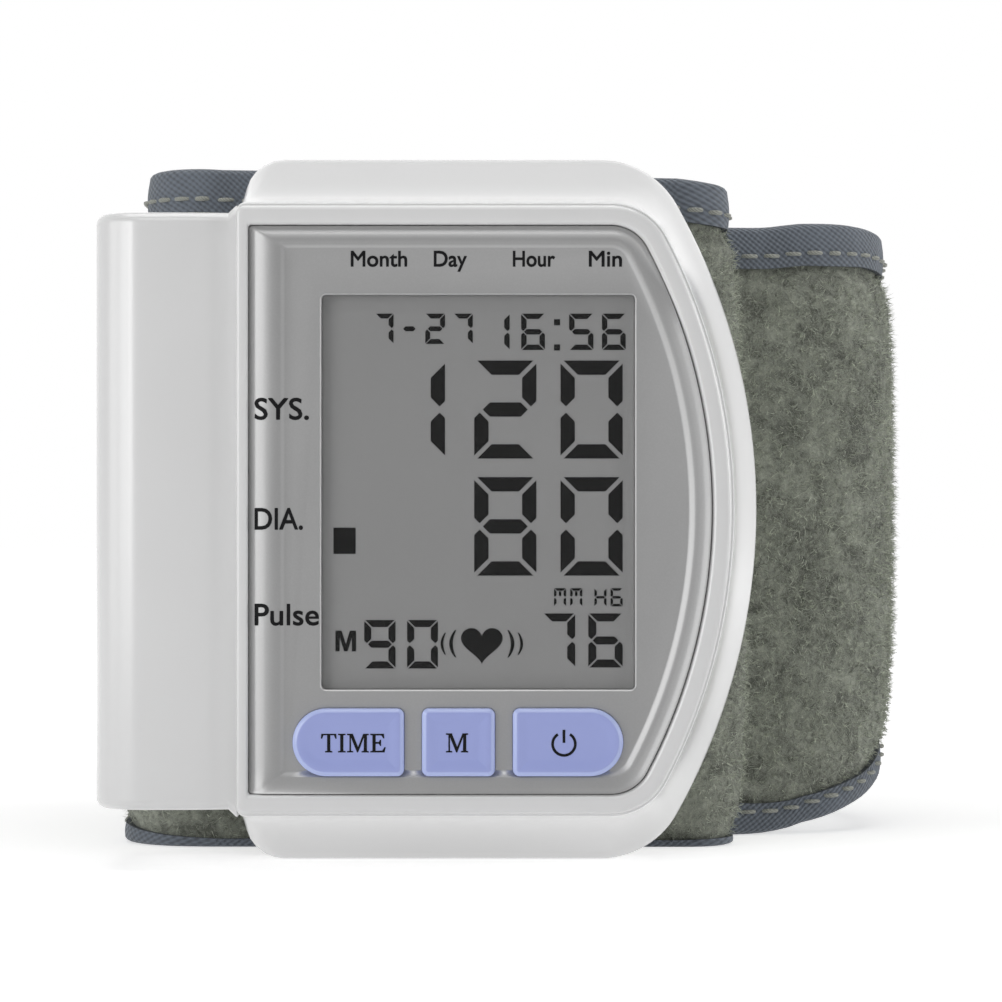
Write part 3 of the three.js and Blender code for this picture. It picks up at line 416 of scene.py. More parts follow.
@kept
def button_plastic(colour):
    """Satin blue plastic of the push buttons, paler where it slopes away."""
    finish = Finish("button blue", colour, 0.3)
    place = finish.place()
    cloud = finish.noise(place, 160, 2)
    grain = finish.noise(place, 3200, 2)
    # Painted highlight: the bevels are tinted paler as they slope away from the view; the cloud
    # adds the plastic's own random tone.
    tone_and_painted_highlight = finish.sum(finish.tilt(0.02, 0.1), finish.mixed((cloud, 0.1)))
    finish.tint(tone_and_painted_highlight, shade(colour, 0.96), shade(colour, 1.38)).rough(cloud, 0.26, 0.34)
    return finish.bump(grain, 0.000005, 0.4).set(Coat_Weight=0.6, Coat_Roughness=0.14).material


@kept
def lens_plastic():
    """Clear hard plastic of the display lens, which lets lamps through."""
    finish = Finish("clear lens", (1, 1, 1), 0.06)
    polish = finish.noise(finish.place(), 120, 2)
    rough = {"Roughness": finish.spread(polish, 0.05, 0.1)}
    gloss = finish.add("ShaderNodeBsdfGlossy", "BSDF", rough)
    clear = finish.add("ShaderNodeBsdfTransparent", "BSDF")
    edge = finish.add("ShaderNodeFresnel", "Fac", values={"IOR": 1.12})
    finish.end_with(finish.add("ShaderNodeMixShader", "Shader", {"Fac": edge, 1: clear, 2: gloss}))
    finish.tree.nodes.remove(finish.shader)
    return finish.material


@kept
def crystal_glass(colour):
    """Grey liquid crystal glass over its silvery reflector."""
    finish = Finish("crystal glass", colour, 0.35)
    place = finish.place()
    grain = finish.noise(place, 5000, 1)
    cloud = finish.noise(place, 40, 1)
    finish.tint(finish.sum(grain, cloud, "MULTIPLY"), shade(colour, 0.96), shade(colour, 1.1))
    return finish.rough(cloud, 0.3, 0.42).bump(grain, 0.000002, 0.2).material


def mottled(name, colour, roughness, pattern, tones, gloss, relief=None, **values):
    """A finish whose colour, gloss and relief all follow one soft noise pattern."""
    finish = Finish(name, colour, roughness)
    cloud = finish.noise(finish.place(), *pattern)
    finish.tint(cloud, *(shade(colour, share) for share in tones)).rough(cloud, *gloss)
    if relief:
        finish.bump(cloud, *relief)
    return finish.set(**values).material


@kept
def segment_ink(colour):
    """Dark segments of the display."""
    return mottled(
        "display segments", colour, 0.55, (300, 2), (0.8, 1.2), (0.5, 0.65), Specular_IOR_Level=0.1
    )


@kept
def print_ink(colour):
    """Black printing ink with slightly uneven cover."""
    return mottled(
        "printing ink", colour, 0.5, (2400, 3), (0.7, 1.4), (0.42, 0.6), (0.000003, 0.3),
        Specular_IOR_Level=0.12,
    )


@kept
def fleece_cloth(colour):
    """Brushed olive grey fleece: patches where its pile lies over, with fine curled fibres."""
    finish = Finish("brushed fleece", colour, 0.95)
    place = finish.place()
    patches = finish.noise(place, 260, 4, 0.65, 0.6)
    clumps = finish.noise(place, 900, 3, 0.6, 1.2)
    curls = finish.lines(finish.noise(place, 1100, 2, 0.5, 2.5), 0.035)
    more_curls = finish.lines(finish.noise(finish.place(turn=(1, 2, 3)), 1500, 2, 0.5, 3.0), 0.04)
    curls = finish.sum(curls, more_curls, "MAXIMUM")
    tone = finish.mixed((patches, 0.58), (clumps, 0.42), (curls, 0.12))
    finish.tint(finish.spread(tone, 0, 1, 0.4, 0.68), shade(colour, 0.45), shade(colour, 1.7))
    finish.bump(patches, 0.0005, 0.3).bump(clumps, 0.0003, 0.7).bump(curls, 0.00008, 0.8)
    return finish.set(Sheen_Weight=0.25, Sheen_Roughness=0.5, Specular_IOR_Level=0.1).material


@kept
def fibre_cloth(colour):
    """Single fibres that stand up from the fleece, some paler than the cloth below."""
    finish = Finish("fleece fibre", colour, 0.9)
    patches = finish.noise(finish.place(), 1400, 2)
    finish.tint(finish.spread(patches, 0, 1, 0.35, 0.65), shade(colour, 0.8), shade(colour, 2.3))
    return finish.set(Sheen_Weight=0.2, Specular_IOR_Level=0.1).material


@kept
def lining_cloth(colour):
    """Smooth woven lining on the side of the wrist."""
    finish = Finish("woven lining", colour, 0.8)
    place = finish.place(uv=True)
    warp, weft = finish.bands(place, 0.0006), finish.bands(place, 0.0006, "Y")
    weave = finish.sum(warp, weft, "MULTIPLY")
    wear = finish.noise(finish.place(), 120, 3)
    tone = finish.mixed((weave, 0.5), (wear, 0.5))
    finish.tint(tone, shade(colour, 0.7), shade(colour, 1.35)).rough(wear, 0.72, 0.88)
    return finish.bump(weave, 0.00012, 0.8).set(Sheen_Weight=0.2).material


@kept
def binding_tape(colour):
    """Slate blue woven tape with slanting ribs."""
    finish = Finish("woven tape", colour, 0.75)
    slant = finish.place(uv=True, turn=(0, 0, math.radians(52)))
    cross = finish.place(uv=True, turn=(0, 0, math.radians(-38)))
    ribs, threads = finish.bands(slant, 0.00046), finish.bands(cross, 0.00055)
    weave = finish.sum(ribs, finish.sum(threads, 0.5, "MULTIPLY"))
    wear = finish.noise(finish.place(), 260, 4, 0.6)
    tone = finish.mixed((weave, 0.4), (wear, 0.5))
    finish.tint(finish.spread(tone, 0, 1, 0.2, 0.75), shade(colour, 0.62), shade(colour, 1.4))
    return finish.bump(weave, 0.0001, 0.9).bump(wear, 0.0001, 0.4).set(Sheen_Weight=0.2).material


@kept
def hook_tape():
    """Hook strip: rows of tiny stiff hooks on a woven base."""
    colour = linear(74, 80, 88)
    finish = Finish("hook strip", colour, 0.55)
    hooks = finish.cells(finish.place(uv=True), 900)
    tone = finish.spread(hooks, 1, 0, 0.0, 0.6)
    finish.tint(tone, shade(colour, 0.5), shade(colour, 1.4)).rough(hooks, 0.5, 0.75)
    return finish.bump(tone, 0.0004, 1.0).material


@kept
def sewing_thread(colour):
    """Twisted sewing thread, grey green."""
    finish = Finish("sewing thread", colour, 0.7)
    twist = finish.bands(finish.place(turn=(0.6, 0.5, 0.8)), 0.0002)
    finish.tint(twist, shade(colour, 0.72), shade(colour, 1.15))
    return finish.bump(twist, 0.00004, 0.8).set(Sheen_Weight=0.2).material


@kept
def inner_plastic():
    """Matt off white plastic of the inner mouldings."""
    colour = linear(205, 207, 208)
    tones, gloss, relief = (0.92, 1.03), (0.45, 0.6), (0.00002, 0.3)
    return mottled("inner moulding", colour, 0.5, (200, 3), tones, gloss, relief)


@kept
def rubber_sheet():
    """Soft dark rubber with a dull bloom."""
    colour = linear(58, 59, 62)
    tones, gloss, relief = (0.8, 1.3), (0.7, 0.92), (0.00003, 0.5)
    return mottled("dull rubber", colour, 0.8, (500, 4), tones, gloss, relief)


@kept
def black_plastic():
    """Black moulded plastic of chips, switches and the valve."""
    colour = linear(30, 30, 32)
    tones, gloss, relief = (0.8, 1.3), (0.42, 0.6), (0.00001, 0.5)
    return mottled("black moulding", colour, 0.5, (2200, 2), tones, gloss, relief)


@kept
def brushed_steel():
    """Plated steel with fine drawn lines."""
    colour = linear(186, 188, 192)
    finish = Finish("plated steel", colour, 0.3, 0.9)
    lines = finish.noise(finish.place(scale=(1, 1, 0.06)), 3000, 3)
    finish.tint(lines, shade(colour, 0.85), shade(colour, 1.1)).rough(lines, 0.22, 0.42)
    return finish.bump(lines, 0.000006, 0.5).material


@kept
def circuit_board():
    """Green lacquered board with faint copper tracks under the lacquer."""
    colour = linear(38, 104, 66)
    finish = Finish("board lacquer", colour, 0.4)
    place = finish.place()
    across, down = finish.bands(place, 0.0024, "X"), finish.bands(place, 0.0031, "Z")
    tracks = finish.sum(across, down, "MAXIMUM")
    lines = finish.spread(tracks, 0, 1, 0.82, 0.93)
    finish.tint(lines, colour, shade(colour, 1.5)).rough(lines, 0.32, 0.45)
    return finish.bump(lines, 0.00003, 0.4).set(Coat_Weight=0.3).material


@kept
def tube_plastic():
    """Milky soft tubing."""
    return mottled(
        "soft tubing", linear(208, 211, 212), 0.3, (700, 2), (0.9, 1.04), (0.25, 0.38),
        (0.00001, 0.3), Subsurface_Weight=0.1,
    )


# Heights in metres between which a cell's jacket turns from its colour to the pale band
BAND_EDGE = (0.0494, 0.0496)


@kept
def battery_jacket():
    """Printed jacket of a dry cell, with a paler band at its upper end."""
    low, high = linear(82, 96, 112), linear(172, 178, 182)
    finish = Finish("battery jacket", low, 0.35, 0.2)
    place = finish.place()
    height = finish.add("ShaderNodeSeparateXYZ", "Z", {"Vector": place})
    band = finish.spread(height, 0, 1, *BAND_EDGE)
    grain = finish.noise(place, 900, 2)
    finish.tint(band, low, high).rough(grain, 0.3, 0.42)
    return finish.bump(grain, 0.000006, 0.3).material


def catmull(points, value):
    """Smooth curve through rising (place, amount) pairs."""
    last = len(points) - 1
    index = max(i for i in range(last) if points[i][0] <= value or i == 0)
    (a, b), (c, d) = points[index], points[index + 1]
    share = min(max((value - a) / (c - a), 0.0), 1.0)
    before, after = points[max(index - 1, 0)], points[min(index + 2, last)]
    start = (d - before[1]) / (c - before[0]) * (c - a)
    end = (after[1] - b) / (after[0] - a) * (c - a)
    cube, square = share**3, share**2
    return (
        (2 * cube - 3 * square + 1) * b
        + (cube - 2 * square + share) * start
        + (3 * square - 2 * cube) * d
        + (cube - square) * end
    )


# Housing

# Share of the way from the face's outline to the flange's, at shares of the depth
FLARE = [
    (0.0, 0.0), (0.34, 0.14), (0.52, 0.32), (0.7, 0.57), (0.85, 0.82), (0.95, 0.985), (1.0, 1.0),
]
RIM_WIDTH = 1.9
LEFT_RIM_WIDTH = 1.2
# The side wall starts this far outside the face's outline
STEP = 0.28
# Inset and depth of the small step outside the rim
FACE_EDGE = ((0.0, 0.34), (-0.05, 0.4), (0.06 - STEP, 0.42), (-STEP, 0.5))
PANEL_SEAT = 0.8
PANEL_BACK = 1.6
WALL = 1.6
SEAM_BEVEL = 0.25


def face_line(inset, left_inset=None):
    """Outline of the face, moved inwards; the left side may move by another amount."""
    return unit_outline(FACE, inset, left_inset)


def base_line(inset, left_inset=None):
    """Outline of the flange, moved inwards."""
    return unit_outline(BASE, inset, left_inset)


def flare_layers(inset, shares):
    """Layers of the side wall, which sweeps out from the face to the flange."""
    first, last = face_line(inset - STEP, inset), base_line(inset)
    return [
        (blended(first, last, catmull(FLARE, share)), PARTING_DEPTH * share) for share in shares
    ]


def quarter_bend(radius):
    """Pairs of inset and rise round a quarter circle."""
    turns = [QUARTER * i / 6 for i in range(7)]
    return [(radius * (1 - math.cos(a)), radius * math.sin(a)) for a in turns]


def rim_layers(rise, rounding):
    """Layers across the rim's rounded crest, from its inner wall to its outer side."""
    outer = quarter_bend(rounding)
    inner = [(RIM_WIDTH - inset, height) for inset, height in outer]
    squeeze = LEFT_RIM_WIDTH / RIM_WIDTH
    return [
        (face_line(inset, inset * squeeze), rounding - rise - height)
        for inset, height in inner + outer[::-1]
    ]


def make_front_housing(settings):
    """The front shell: a rounded rim round the panel and a side that sweeps out to the flange."""
    shares = [i / 24 for i in range(1, 24)]
    edge = settings.edge_round / MM
    layers = [
        (face_line(RIM_WIDTH + PANEL_SEAT, LEFT_RIM_WIDTH + PANEL_SEAT), PANEL_BACK + GAP),
        (face_line(RIM_WIDTH, LEFT_RIM_WIDTH), PANEL_BACK + GAP),
        *rim_layers(RIM_RISE, settings.rim_round / MM),
        *[(face_line(inset, 0.0), depth) for inset, depth in FACE_EDGE],
        *flare_layers(0.0, shares),
        (base_line(0.0), PARTING_DEPTH - edge),
        (base_line(edge * 0.3), PARTING_DEPTH - edge * 0.3),
        (base_line(edge), PARTING_DEPTH),
        (base_line(WALL), PARTING_DEPTH),
        *reversed(flare_layers(WALL, [0.34, 0.52, 0.7, 0.85])),
        (face_line(RIM_WIDTH + PANEL_SEAT, LEFT_RIM_WIDTH + PANEL_SEAT), PANEL_BACK + GAP + WALL),
    ]
    obj = from_bmesh("housing_front", rings_to_bmesh(unit_rings(layers), close_loop=True), 30)
    white = white_plastic(settings.colour)
    finish_piece(obj, white, "root", "white_housing", "front_housing")


REAR_INSET = 6.5
REAR_LEFT_INSET = 2.6
# Screw wells: radius of the screw's hole and of its sunk head, and how deep the head sits
WELL_RADIUS = 1.4
HEAD_RADIUS = 2.3
HEAD_DEPTH = 1.4


def rear_line(inset):
    """Outline of the rear box, which sits well inside the flange; its left side is nearer to it."""
    return base_line(REAR_INSET + inset, REAR_LEFT_INSET + 0.4 * inset)


def screw_places():
    """Middles of the four housing screws in the unit's frame, from the CAD model's own screws."""
    places = []
    for number in range(1, 5):
        low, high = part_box(f"housing_screw_{number}")
        places.append(((low + high) / 2 - UNIT_ORIGIN) / MM)
    return places


def make_rear_housing(settings):
    """The rear shell: a rounded flange and the box that sits on the cuff, with screw wells."""
    front = PARTING_DEPTH + GAP
    back = front + FLANGE_THICKNESS
    edge = settings.flange_round / MM
    bends = quarter_bend(edge)
    layers = [
        (base_line(SEAM_BEVEL), front),
        (base_line(0.0), front + SEAM_BEVEL),
        *[(base_line(inward), back - edge + rise) for inward, rise in bends],
        (rear_line(0.0), back),
        *[(rear_line(inward), REAR_DEPTH - edge + rise) for inward, rise in bends],
    ]
    obj = from_bmesh("housing_rear", rings_to_bmesh(unit_rings(layers)), 30)
    tools = [prism("hollow", rear_line(WALL), front - 1, REAR_DEPTH - WALL)]
    for place in screw_places():
        for radius, low, high in (
            (WELL_RADIUS, front - 1, back + 1), (HEAD_RADIUS, back - HEAD_DEPTH, back + 1),
        ):
            ring = arc(place.x, place.z, radius, 0, 4 * QUARTER, 32)[:-1]
            tools.append(prism("well", ring, low, high))
    combine(obj, tools)
    white = white_plastic(settings.colour)
    finish_piece(obj, white, "root", "white_housing", "rear_housing")


# How the cover's face rolls back towards the rim, over a width
ROLL = [(0.0, 0.0), (0.2, 0.03), (0.4, 0.12), (0.57, 0.28), (0.72, 0.5), (0.86, 0.76), (1.0, 1.04)]
ROLL_WIDTH = 7.6
COVER_SHIFT = 0.35
COVER_SEAM = 0.06
COVER_LOWERED = 0.175
COVER_WALL = 1.4
# The cover grows this much taller at these distances from its right edge
COVER_EARS = {0.85: 0.0, 0.15: 0.7, 0.0: 0.75}
HOLLOW_OVERRUN = 2


def make_battery_cover(settings):
    """The battery cover: a rounded trough that rolls back to the rim and meets its corners."""
    low, high = ((corner - UNIT_ORIGIN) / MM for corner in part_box("battery_cover"))
    left, right = low.x + COVER_SHIFT, LEFT - COVER_SEAM
    near, far = low.y, high.y
    half, middle = (high.z - low.z) / 2 - COVER_LOWERED, -COVER_LOWERED
    radius = settings.cover_round / MM
    end = settings.cover_end_round / MM
    ears = {right - back: taller for back, taller in COVER_EARS.items()}

    def rolled(x):
        return catmull(ROLL, 1 - (right - x) / ROLL_WIDTH)

    def section(shrink, reach):
        bend = radius - reach - shrink
        places = [right - ROLL_WIDTH * (1 - share) for share, _ in ROLL[:-1]] + list(ears)
        return (
            [(x, near + reach + shrink + rolled(x)) for x in places[::-1]]
            + arc(left + radius, near + radius, bend, 3 * QUARTER, 2 * QUARTER, 14)
            + arc(left + radius, far - radius, bend, 2 * QUARTER, QUARTER, 14)
            + [(x, far - reach - shrink) for x in ears]
        )

    def ring(shrink, height):
        return [
            at(x, depth, middle + height + math.copysign(ears.get(x, 0.0), height))
            for x, depth in section(shrink, 0)
        ]

    turns = [QUARTER * i / 8 for i in range(9)]
    ends = [(end * (1 - math.sin(a)), half - end + end * math.cos(a)) for a in turns]
    rings = [ring(shrink, -height) for shrink, height in ends]
    rings += [ring(shrink, height) for shrink, height in reversed(ends)]
    shell = rings_to_bmesh(rings)
    for x in list(ears)[:2]:
        slice_across(shell, at(x, 0, 0), 1e-6)
    obj = from_bmesh("battery_cover_shell", shell, 30)
    hollow = [
        [
            at(x + (HOLLOW_OVERRUN if x == right else 0), depth, height)
            for x, depth in section(0, COVER_WALL)
        ]
        for height in (middle + COVER_WALL - half, middle + half - COVER_WALL)
    ]
    combine(obj, [from_bmesh("hollow", rings_to_bmesh(hollow))])
    white = white_plastic(settings.colour)
    finish_piece(obj, white, "battery_cover", "white_housing", "battery_cover")


# Face panel

RIGHT = LEFT + FACE["width"]
OPENING = {"left": LEFT + 8.4, "right": RIGHT - 9.5, "low": -30 + 12.2, "high": 30 - 8.8}
BUTTON_LOW = -26.3
BUTTON_HIGH = -19.6
BUTTON_GAP = 0.03
HOLE_BEVEL = 0.03
# The lip behind the panel that keeps a button in, and the stem on which it works its switch
LIP = 0.8
LIP_REACH = 0.2
STEM_RADIUS = 1.8
# A cap's edge: how far in, and how far back, as shares of its rounding
CHAMFER = [
    (1.0, 0.0), (0.86, 0.02), (0.7, 0.09), (0.3, 0.27), (0.12, 0.38), (0.03, 0.52), (0.0, 0.75),
]
# The hollow of a cap's top: share of its depth, and how far in
DISH_RINGS = ((1.0, 1.2), (0.75, 0.9), (0.5, 0.6), (0.25, 0.3))
ROUND_END = (BUTTON_HIGH - BUTTON_LOW) / 2
# Left and right side of each button, and the radii of its left and right corners
BUTTONS = {
    "time": (-20.55, -9.546, ROUND_END, 0.7),
    "memory": (-7.796, -0.591, 0.7, 0.7),
    "power": (1.159, 12.061, 0.7, ROUND_END),
}
# Height of the border across its width, as shares of its rise: a bead at the left and the top,
# and a ramp at the right and the bottom; it turns from one to the other between two points
BORDER_PROFILE = [
    (0.0, -0.5), (0.06, -0.42), (0.14, -0.2), (0.22, -0.02), (0.35, 0.17), (0.5, 0.31),
    (0.62, 0.37), (0.74, 0.36), (0.85, 0.25), (0.94, 0.08), (1.0, 0.0),
]
BORDER_RAMP = [
    (0.0, 0.83), (0.05, 0.8), (0.15, 0.7), (0.3, 0.56), (0.5, 0.43), (0.7, 0.33), (0.8, 0.22),
    (0.93, 0.05), (1.0, 0.0),
]
BORDER_STEPS = 24
BORDER_TURNS = ((-25.0, -29.0), (18.0, 25.0))
# The border is this many times wider at the left
LEFT_STRETCH = 1.6


def border_rise(settings, share):
    """Height of the raised border, from its outer edge at 0 to its inner edge at 1."""
    if share >= 1:
        return 0.0
    return settings.border_rise / MM * catmull(BORDER_PROFILE, max(share, 0.0))


def panel_line(inset):
    """Outline of the face panel, which sits inside the rim; its border is widest on the left."""
    left_inset = LEFT_RIM_WIDTH + SHADOW_GAP + inset * LEFT_STRETCH
    return face_line(RIM_WIDTH + SHADOW_GAP + inset, left_inset)


def button_outline(name, grow):
    """Outline of one button, grown or shrunk."""
    left, right, left_radius, right_radius = BUTTONS[name]
    return rounded_corner_outline(
        left - grow, right + grow, BUTTON_LOW - grow, BUTTON_HIGH + grow,
        max(left_radius + grow, 0.1), max(right_radius + grow, 0.1), CORNER_STEPS,
    )


def towards_low_right(x, z):
    """1 at the panel's right and lower side, where its border is a ramp, and 0 elsewhere."""
    (left, low), (right, high) = BORDER_TURNS
    past = (x - left) * (high - low) - (z - low) * (right - left)
    reach = 2 + 10 * min(max((x - left) / (right - left), 0.0), 1.0)
    share = min(max(0.5 + past / math.hypot(right - left, high - low) / reach, 0.0), 1.0)
    return share * share * (3 - 2 * share)


def opening_outline(grow):
    """Outline of the display's opening, grown by an amount."""
    return rounded_corner_outline(
        OPENING["left"] - grow, OPENING["right"] + grow, OPENING["low"] - grow,
        OPENING["high"] + grow, 0.5 + grow, 0.5 + grow,
    )


def make_face_panel(settings):
    """The silver panel: a flat field in a soft raised border, cut for the display and buttons."""
    width = settings.border_width / MM
    rings = [[at(x, PANEL_BACK, z) for x, z in panel_line(0)]]
    for i in range(BORDER_STEPS + 1):
        share = i / BORDER_STEPS
        bead = border_rise(settings, share)
        ramp = settings.border_rise / MM * catmull(BORDER_RAMP, share)
        rings.append([
            at(x, -bead - (ramp - bead) * towards_low_right(x, z), z)
            for x, z in panel_line(width * share)
        ])
    obj = from_bmesh("face_panel_plate", rings_to_bmesh(rings), 50)
    bevel = settings.opening_bevel / MM
    tools = [bevelled_tool("opening", opening_outline(0), opening_outline(bevel), bevel)]
    for name in BUTTONS:
        hole, wide = (button_outline(name, gap) for gap in (BUTTON_GAP, BUTTON_GAP + HOLE_BEVEL))
        tools.append(bevelled_tool("button_hole", hole, wide, HOLE_BEVEL))
    combine(obj, tools)
    finish_piece(obj, silver_paint(settings.colour), "root", "silver_panel", "face_panel")


def bevelled_tool(name, outline, wide, bevel):
    """A cutter for a hole whose front edge is broken by a small bevel."""
    layers = [(outline, PANEL_BACK + 1), (outline, bevel), (wide, 0.0), (wide, -1.0)]
    return from_bmesh(name, rings_to_bmesh(unit_rings(layers)))


# Buttons

def make_button(name, settings):
    """One push button: a bevelled cap, its lip behind the panel and its stem."""
    edge = settings.edge_round / MM
    rise = settings.rise / MM
    dish = settings.dish / MM
    lip_front = PANEL_BACK + GAP
    lip = button_outline(name, LIP_REACH)
    layers = [
        (button_outline(name, -edge - inward), dish * (1 - math.cos(share * math.pi)) / 2 - rise)
        for share, inward in DISH_RINGS
    ]
    layers += [
        (button_outline(name, -edge * inward), edge * back - rise) for inward, back in CHAMFER
    ]
    layers += [(button_outline(name, 0), lip_front), (lip, lip_front), (lip, lip_front + LIP)]
    obj = from_bmesh(f"cap_{name}", rings_to_bmesh(unit_rings(layers)), 40)
    back = (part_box(f"button_{name}")[1] - UNIT_ORIGIN).y / MM
    left, right = BUTTONS[name][:2]
    centre = ((left + right) / 2, (BUTTON_LOW + BUTTON_HIGH) / 2)
    stem = arc(*centre, STEM_RADIUS, 0, 4 * QUARTER, 24)[:-1]
    combine(obj, [prism("stem", stem, lip_front + LIP / 2, back)], "UNION")
    blue = button_plastic(settings.colour)
    finish_piece(obj, blue, f"button_{name}", "button_blue", f"button_{name}")


# Flat shapes: display segments and printed words

def flat_shapes(name, shapes, depth, thickness):
    """Thin prisms for a list of outlines, from a depth forwards."""
    bm = bmesh.new()
    for outline in shapes:
        area = sum(
            a[0] * b[1] - b[0] * a[1] for a, b in zip(outline, outline[1:] + outline[:1])
        )
        ring = outline if area > 0 else outline[::-1]
        front = [bm.verts.new(at(x, depth - thickness, z)) for x, z in ring]
        back = [bm.verts.new(at(x, depth, z)) for x, z in ring]
        bm.faces.new(front)
        bm.faces.new(back[::-1])
        for i, j in around(len(ring)):
            bm.faces.new((front[j], front[i], back[i], back[j]))
    return plain_object(name, bm)


# The bars that each sign lights; i is the short upright in the middle of an M
SEGMENTS = {
    "0": "abcdef", "1": "bc", "2": "abged", "4": "fgbc", "5": "afgcd", "6": "afgedc",
    "7": "abc", "8": "abcdefg", "9": "abfgcd", "-": "g", "M": "abcefi", "H": "fbgec", "G": "afedgc",
}
TIP_SHARE = 0.38


def digit(character, left, right, low, high, stroke, cut):
    """Outlines of one segment digit in a box: mitred corners, pointed waists and thin gaps."""
    half = (low + high) / 2
    tip = TIP_SHARE * stroke
    near, far = cut + tip, cut + stroke - tip
    inner_left, inner_right = left + stroke + cut, right - stroke - cut
    waist_left, waist_right = left + near + stroke / 2, right - near - stroke / 2

    def level(edge, side):
        return [
            (left + cut, edge), (right - cut, edge),
            (inner_right, edge - side * stroke), (inner_left, edge - side * stroke),
        ]

    def upright(edge, inward, end, side):
        return [
            (edge, end - side * cut), (edge + inward * stroke, end - side * (stroke + cut)),
            (edge + inward * stroke, half + side * far), (edge + inward * tip, half + side * cut),
            (edge, half + side * near),
        ]

    middle = [
        (left + near, half), (waist_left, half + stroke / 2), (waist_right, half + stroke / 2),
        (right - near, half), (waist_right, half - stroke / 2), (waist_left, half - stroke / 2),
    ]
    centre = (left + right) / 2
    bars = {
        "a": level(high, 1), "d": level(low, -1), "g": middle,
        "f": upright(left, 1, high, 1), "e": upright(left, 1, low, -1),
        "b": upright(right, -1, high, 1), "c": upright(right, -1, low, -1),
        "i": [
            (centre - stroke / 2, high - stroke - cut), (centre + stroke / 2, high - stroke - cut),
            (centre + stroke / 2, half + far), (centre, half + cut),
            (centre - stroke / 2, half + far),
        ],
    }
    return [bars[key] for key in SEGMENTS[character]]


def row(text, edges, low, high, stroke, cut):
    """A row of digits; edges gives the left and right of each, from the opening's left side."""
    shapes = []
    for character, (left, right) in zip(text, edges):
        shapes += digit(
            character, OPENING["left"] + left, OPENING["left"] + right,
            OPENING["high"] - low, OPENING["high"] - high, stroke, cut,
        )
    return shapes


def block(left, right, high, low):
    """A plain rectangle, from the opening's left side and top."""
    x, z = OPENING["left"], OPENING["high"]
    return [(x + left, z - low), (x + right, z - low), (x + right, z - high), (x + left, z - high)]


# How far the heart's curve reaches below its middle, and its whole height
HEART_DEPTH = 17
HEART_SPAN = 28.9


def heart(centre, high, low, half_width):
    """Outline of the heart that beats with the pulse."""
    points = []
    for i in range(48):
        angle = 4 * QUARTER * i / 48
        across = math.sin(angle) ** 3
        rise = (13 * math.cos(angle) - 5 * math.cos(2 * angle) - 2 * math.cos(3 * angle)
                - math.cos(4 * angle))
        points.append((
            OPENING["left"] + centre + across * half_width,
            OPENING["high"] - low + (rise + HEART_DEPTH) / HEART_SPAN * (low - high),
        ))
    return points


def pulse_arc(centre, side, reach, middle, half_height, thickness, bend):
    """A curved stroke beside the heart, thick in its middle and thin at its ends."""
    x, z = OPENING["left"] + centre + side * reach, OPENING["high"] - middle
    outer, inner = [], []
    for i in range(13):
        share = i / 6 - 1
        bow = x - side * bend * share**2
        width = thickness * (1 - 0.6 * share**2)
        outer.append((bow + side * width / 2, z + share * half_height))
        inner.append((bow - side * width / 2, z + share * half_height))
    return outer + inner[::-1]


# Rows of digits: text, left and right edges, lower and upper edge from the top, stroke and gap
LCD_ROWS = (
    ("7-27", ((5.3, 7.1), (7.8, 9.55), (10.25, 12.2), (13.05, 14.95)), 4.8, 1.8, 0.48, 0.07),
    ("1656", ((17.2, 18.6), (19.75, 22.1), (24.5, 26.9), (27.75, 30.1)), 5.4, 1.8, 0.53, 0.08),
    ("120", ((6.1, 12.2), (15.1, 21.25), (23.65, 29.8)), 16.15, 6.45, 1.41, 0.31),
    ("80", ((15.1, 21.25), (23.65, 29.8)), 27.75, 18.0, 1.41, 0.31),
    ("MMHG", ((23.0, 24.2), (24.6, 25.8), (27.0, 28.2), (28.6, 29.8)), 30.8, 29.0, 0.25, 0.05),
    ("90", ((4.2, 7.3), (8.45, 11.5)), 36.95, 32.15, 0.7, 0.1),
    ("76", ((21.9, 25.1), (26.4, 29.8)), 36.85, 31.5, 0.79, 0.12),
)
HEART_X = 15.85
# Strokes beside the heart: distance, middle, half height, thickness and bend
PULSE_STROKES = ((3.05, 34.5, 1.35, 0.36, 0.45), (3.95, 34.5, 1.1, 0.28, 0.35))
LCD_BLOCKS = ((23.0, 23.6, 2.35, 2.95), (23.0, 23.6, 4.85, 5.45), (1.15, 3.35, 23.0, 25.6))
BOLD_M_HEIGHT = 2.05
BOLD_M = (
    (0, 0), (0.42, 0), (0.42, 1.35), (0.86, 0), (1.2, 0), (1.62, 1.35), (1.62, 0), (2.04, 0),
    (2.04, 2.05), (1.44, 2.05), (1.03, 0.72), (0.6, 2.05), (0, 2.05),
)


def lcd_shapes():
    """All that the display shows, as flat outlines."""
    shapes = []
    for line in LCD_ROWS:
        shapes += row(*line)
    shapes += [block(*edges) for edges in LCD_BLOCKS]
    shapes.append(heart(HEART_X, 32.95, 36.55, 2.07))
    shapes += [pulse_arc(HEART_X, side, *stroke) for side in (-1, 1) for stroke in PULSE_STROKES]
    left, high = OPENING["left"] + 1.35, OPENING["high"] - 33.2
    shapes.append([(left + x, high - BOLD_M_HEIGHT + z) for x, z in BOLD_M])
    return shapes


def plate(name, low, high, radius, bevel):
    """A rectangular plate with rounded corners and broken edges, between two points."""
    whole = rounded_corner_outline(low.x, high.x, low.z, high.z, radius, radius)
    less = rounded_corner_outline(
        low.x + bevel, high.x - bevel, low.z + bevel, high.z - bevel, radius - bevel, radius - bevel
    )
    layers = [(less, low.y), (whole, low.y + bevel), (whole, high.y - bevel), (less, high.y)]
    return from_bmesh(name, rings_to_bmesh(unit_rings(layers)))


LENS_GAP = 0.04
LENS_DEPTH = 0.45
GLASS_GAP = 0.06


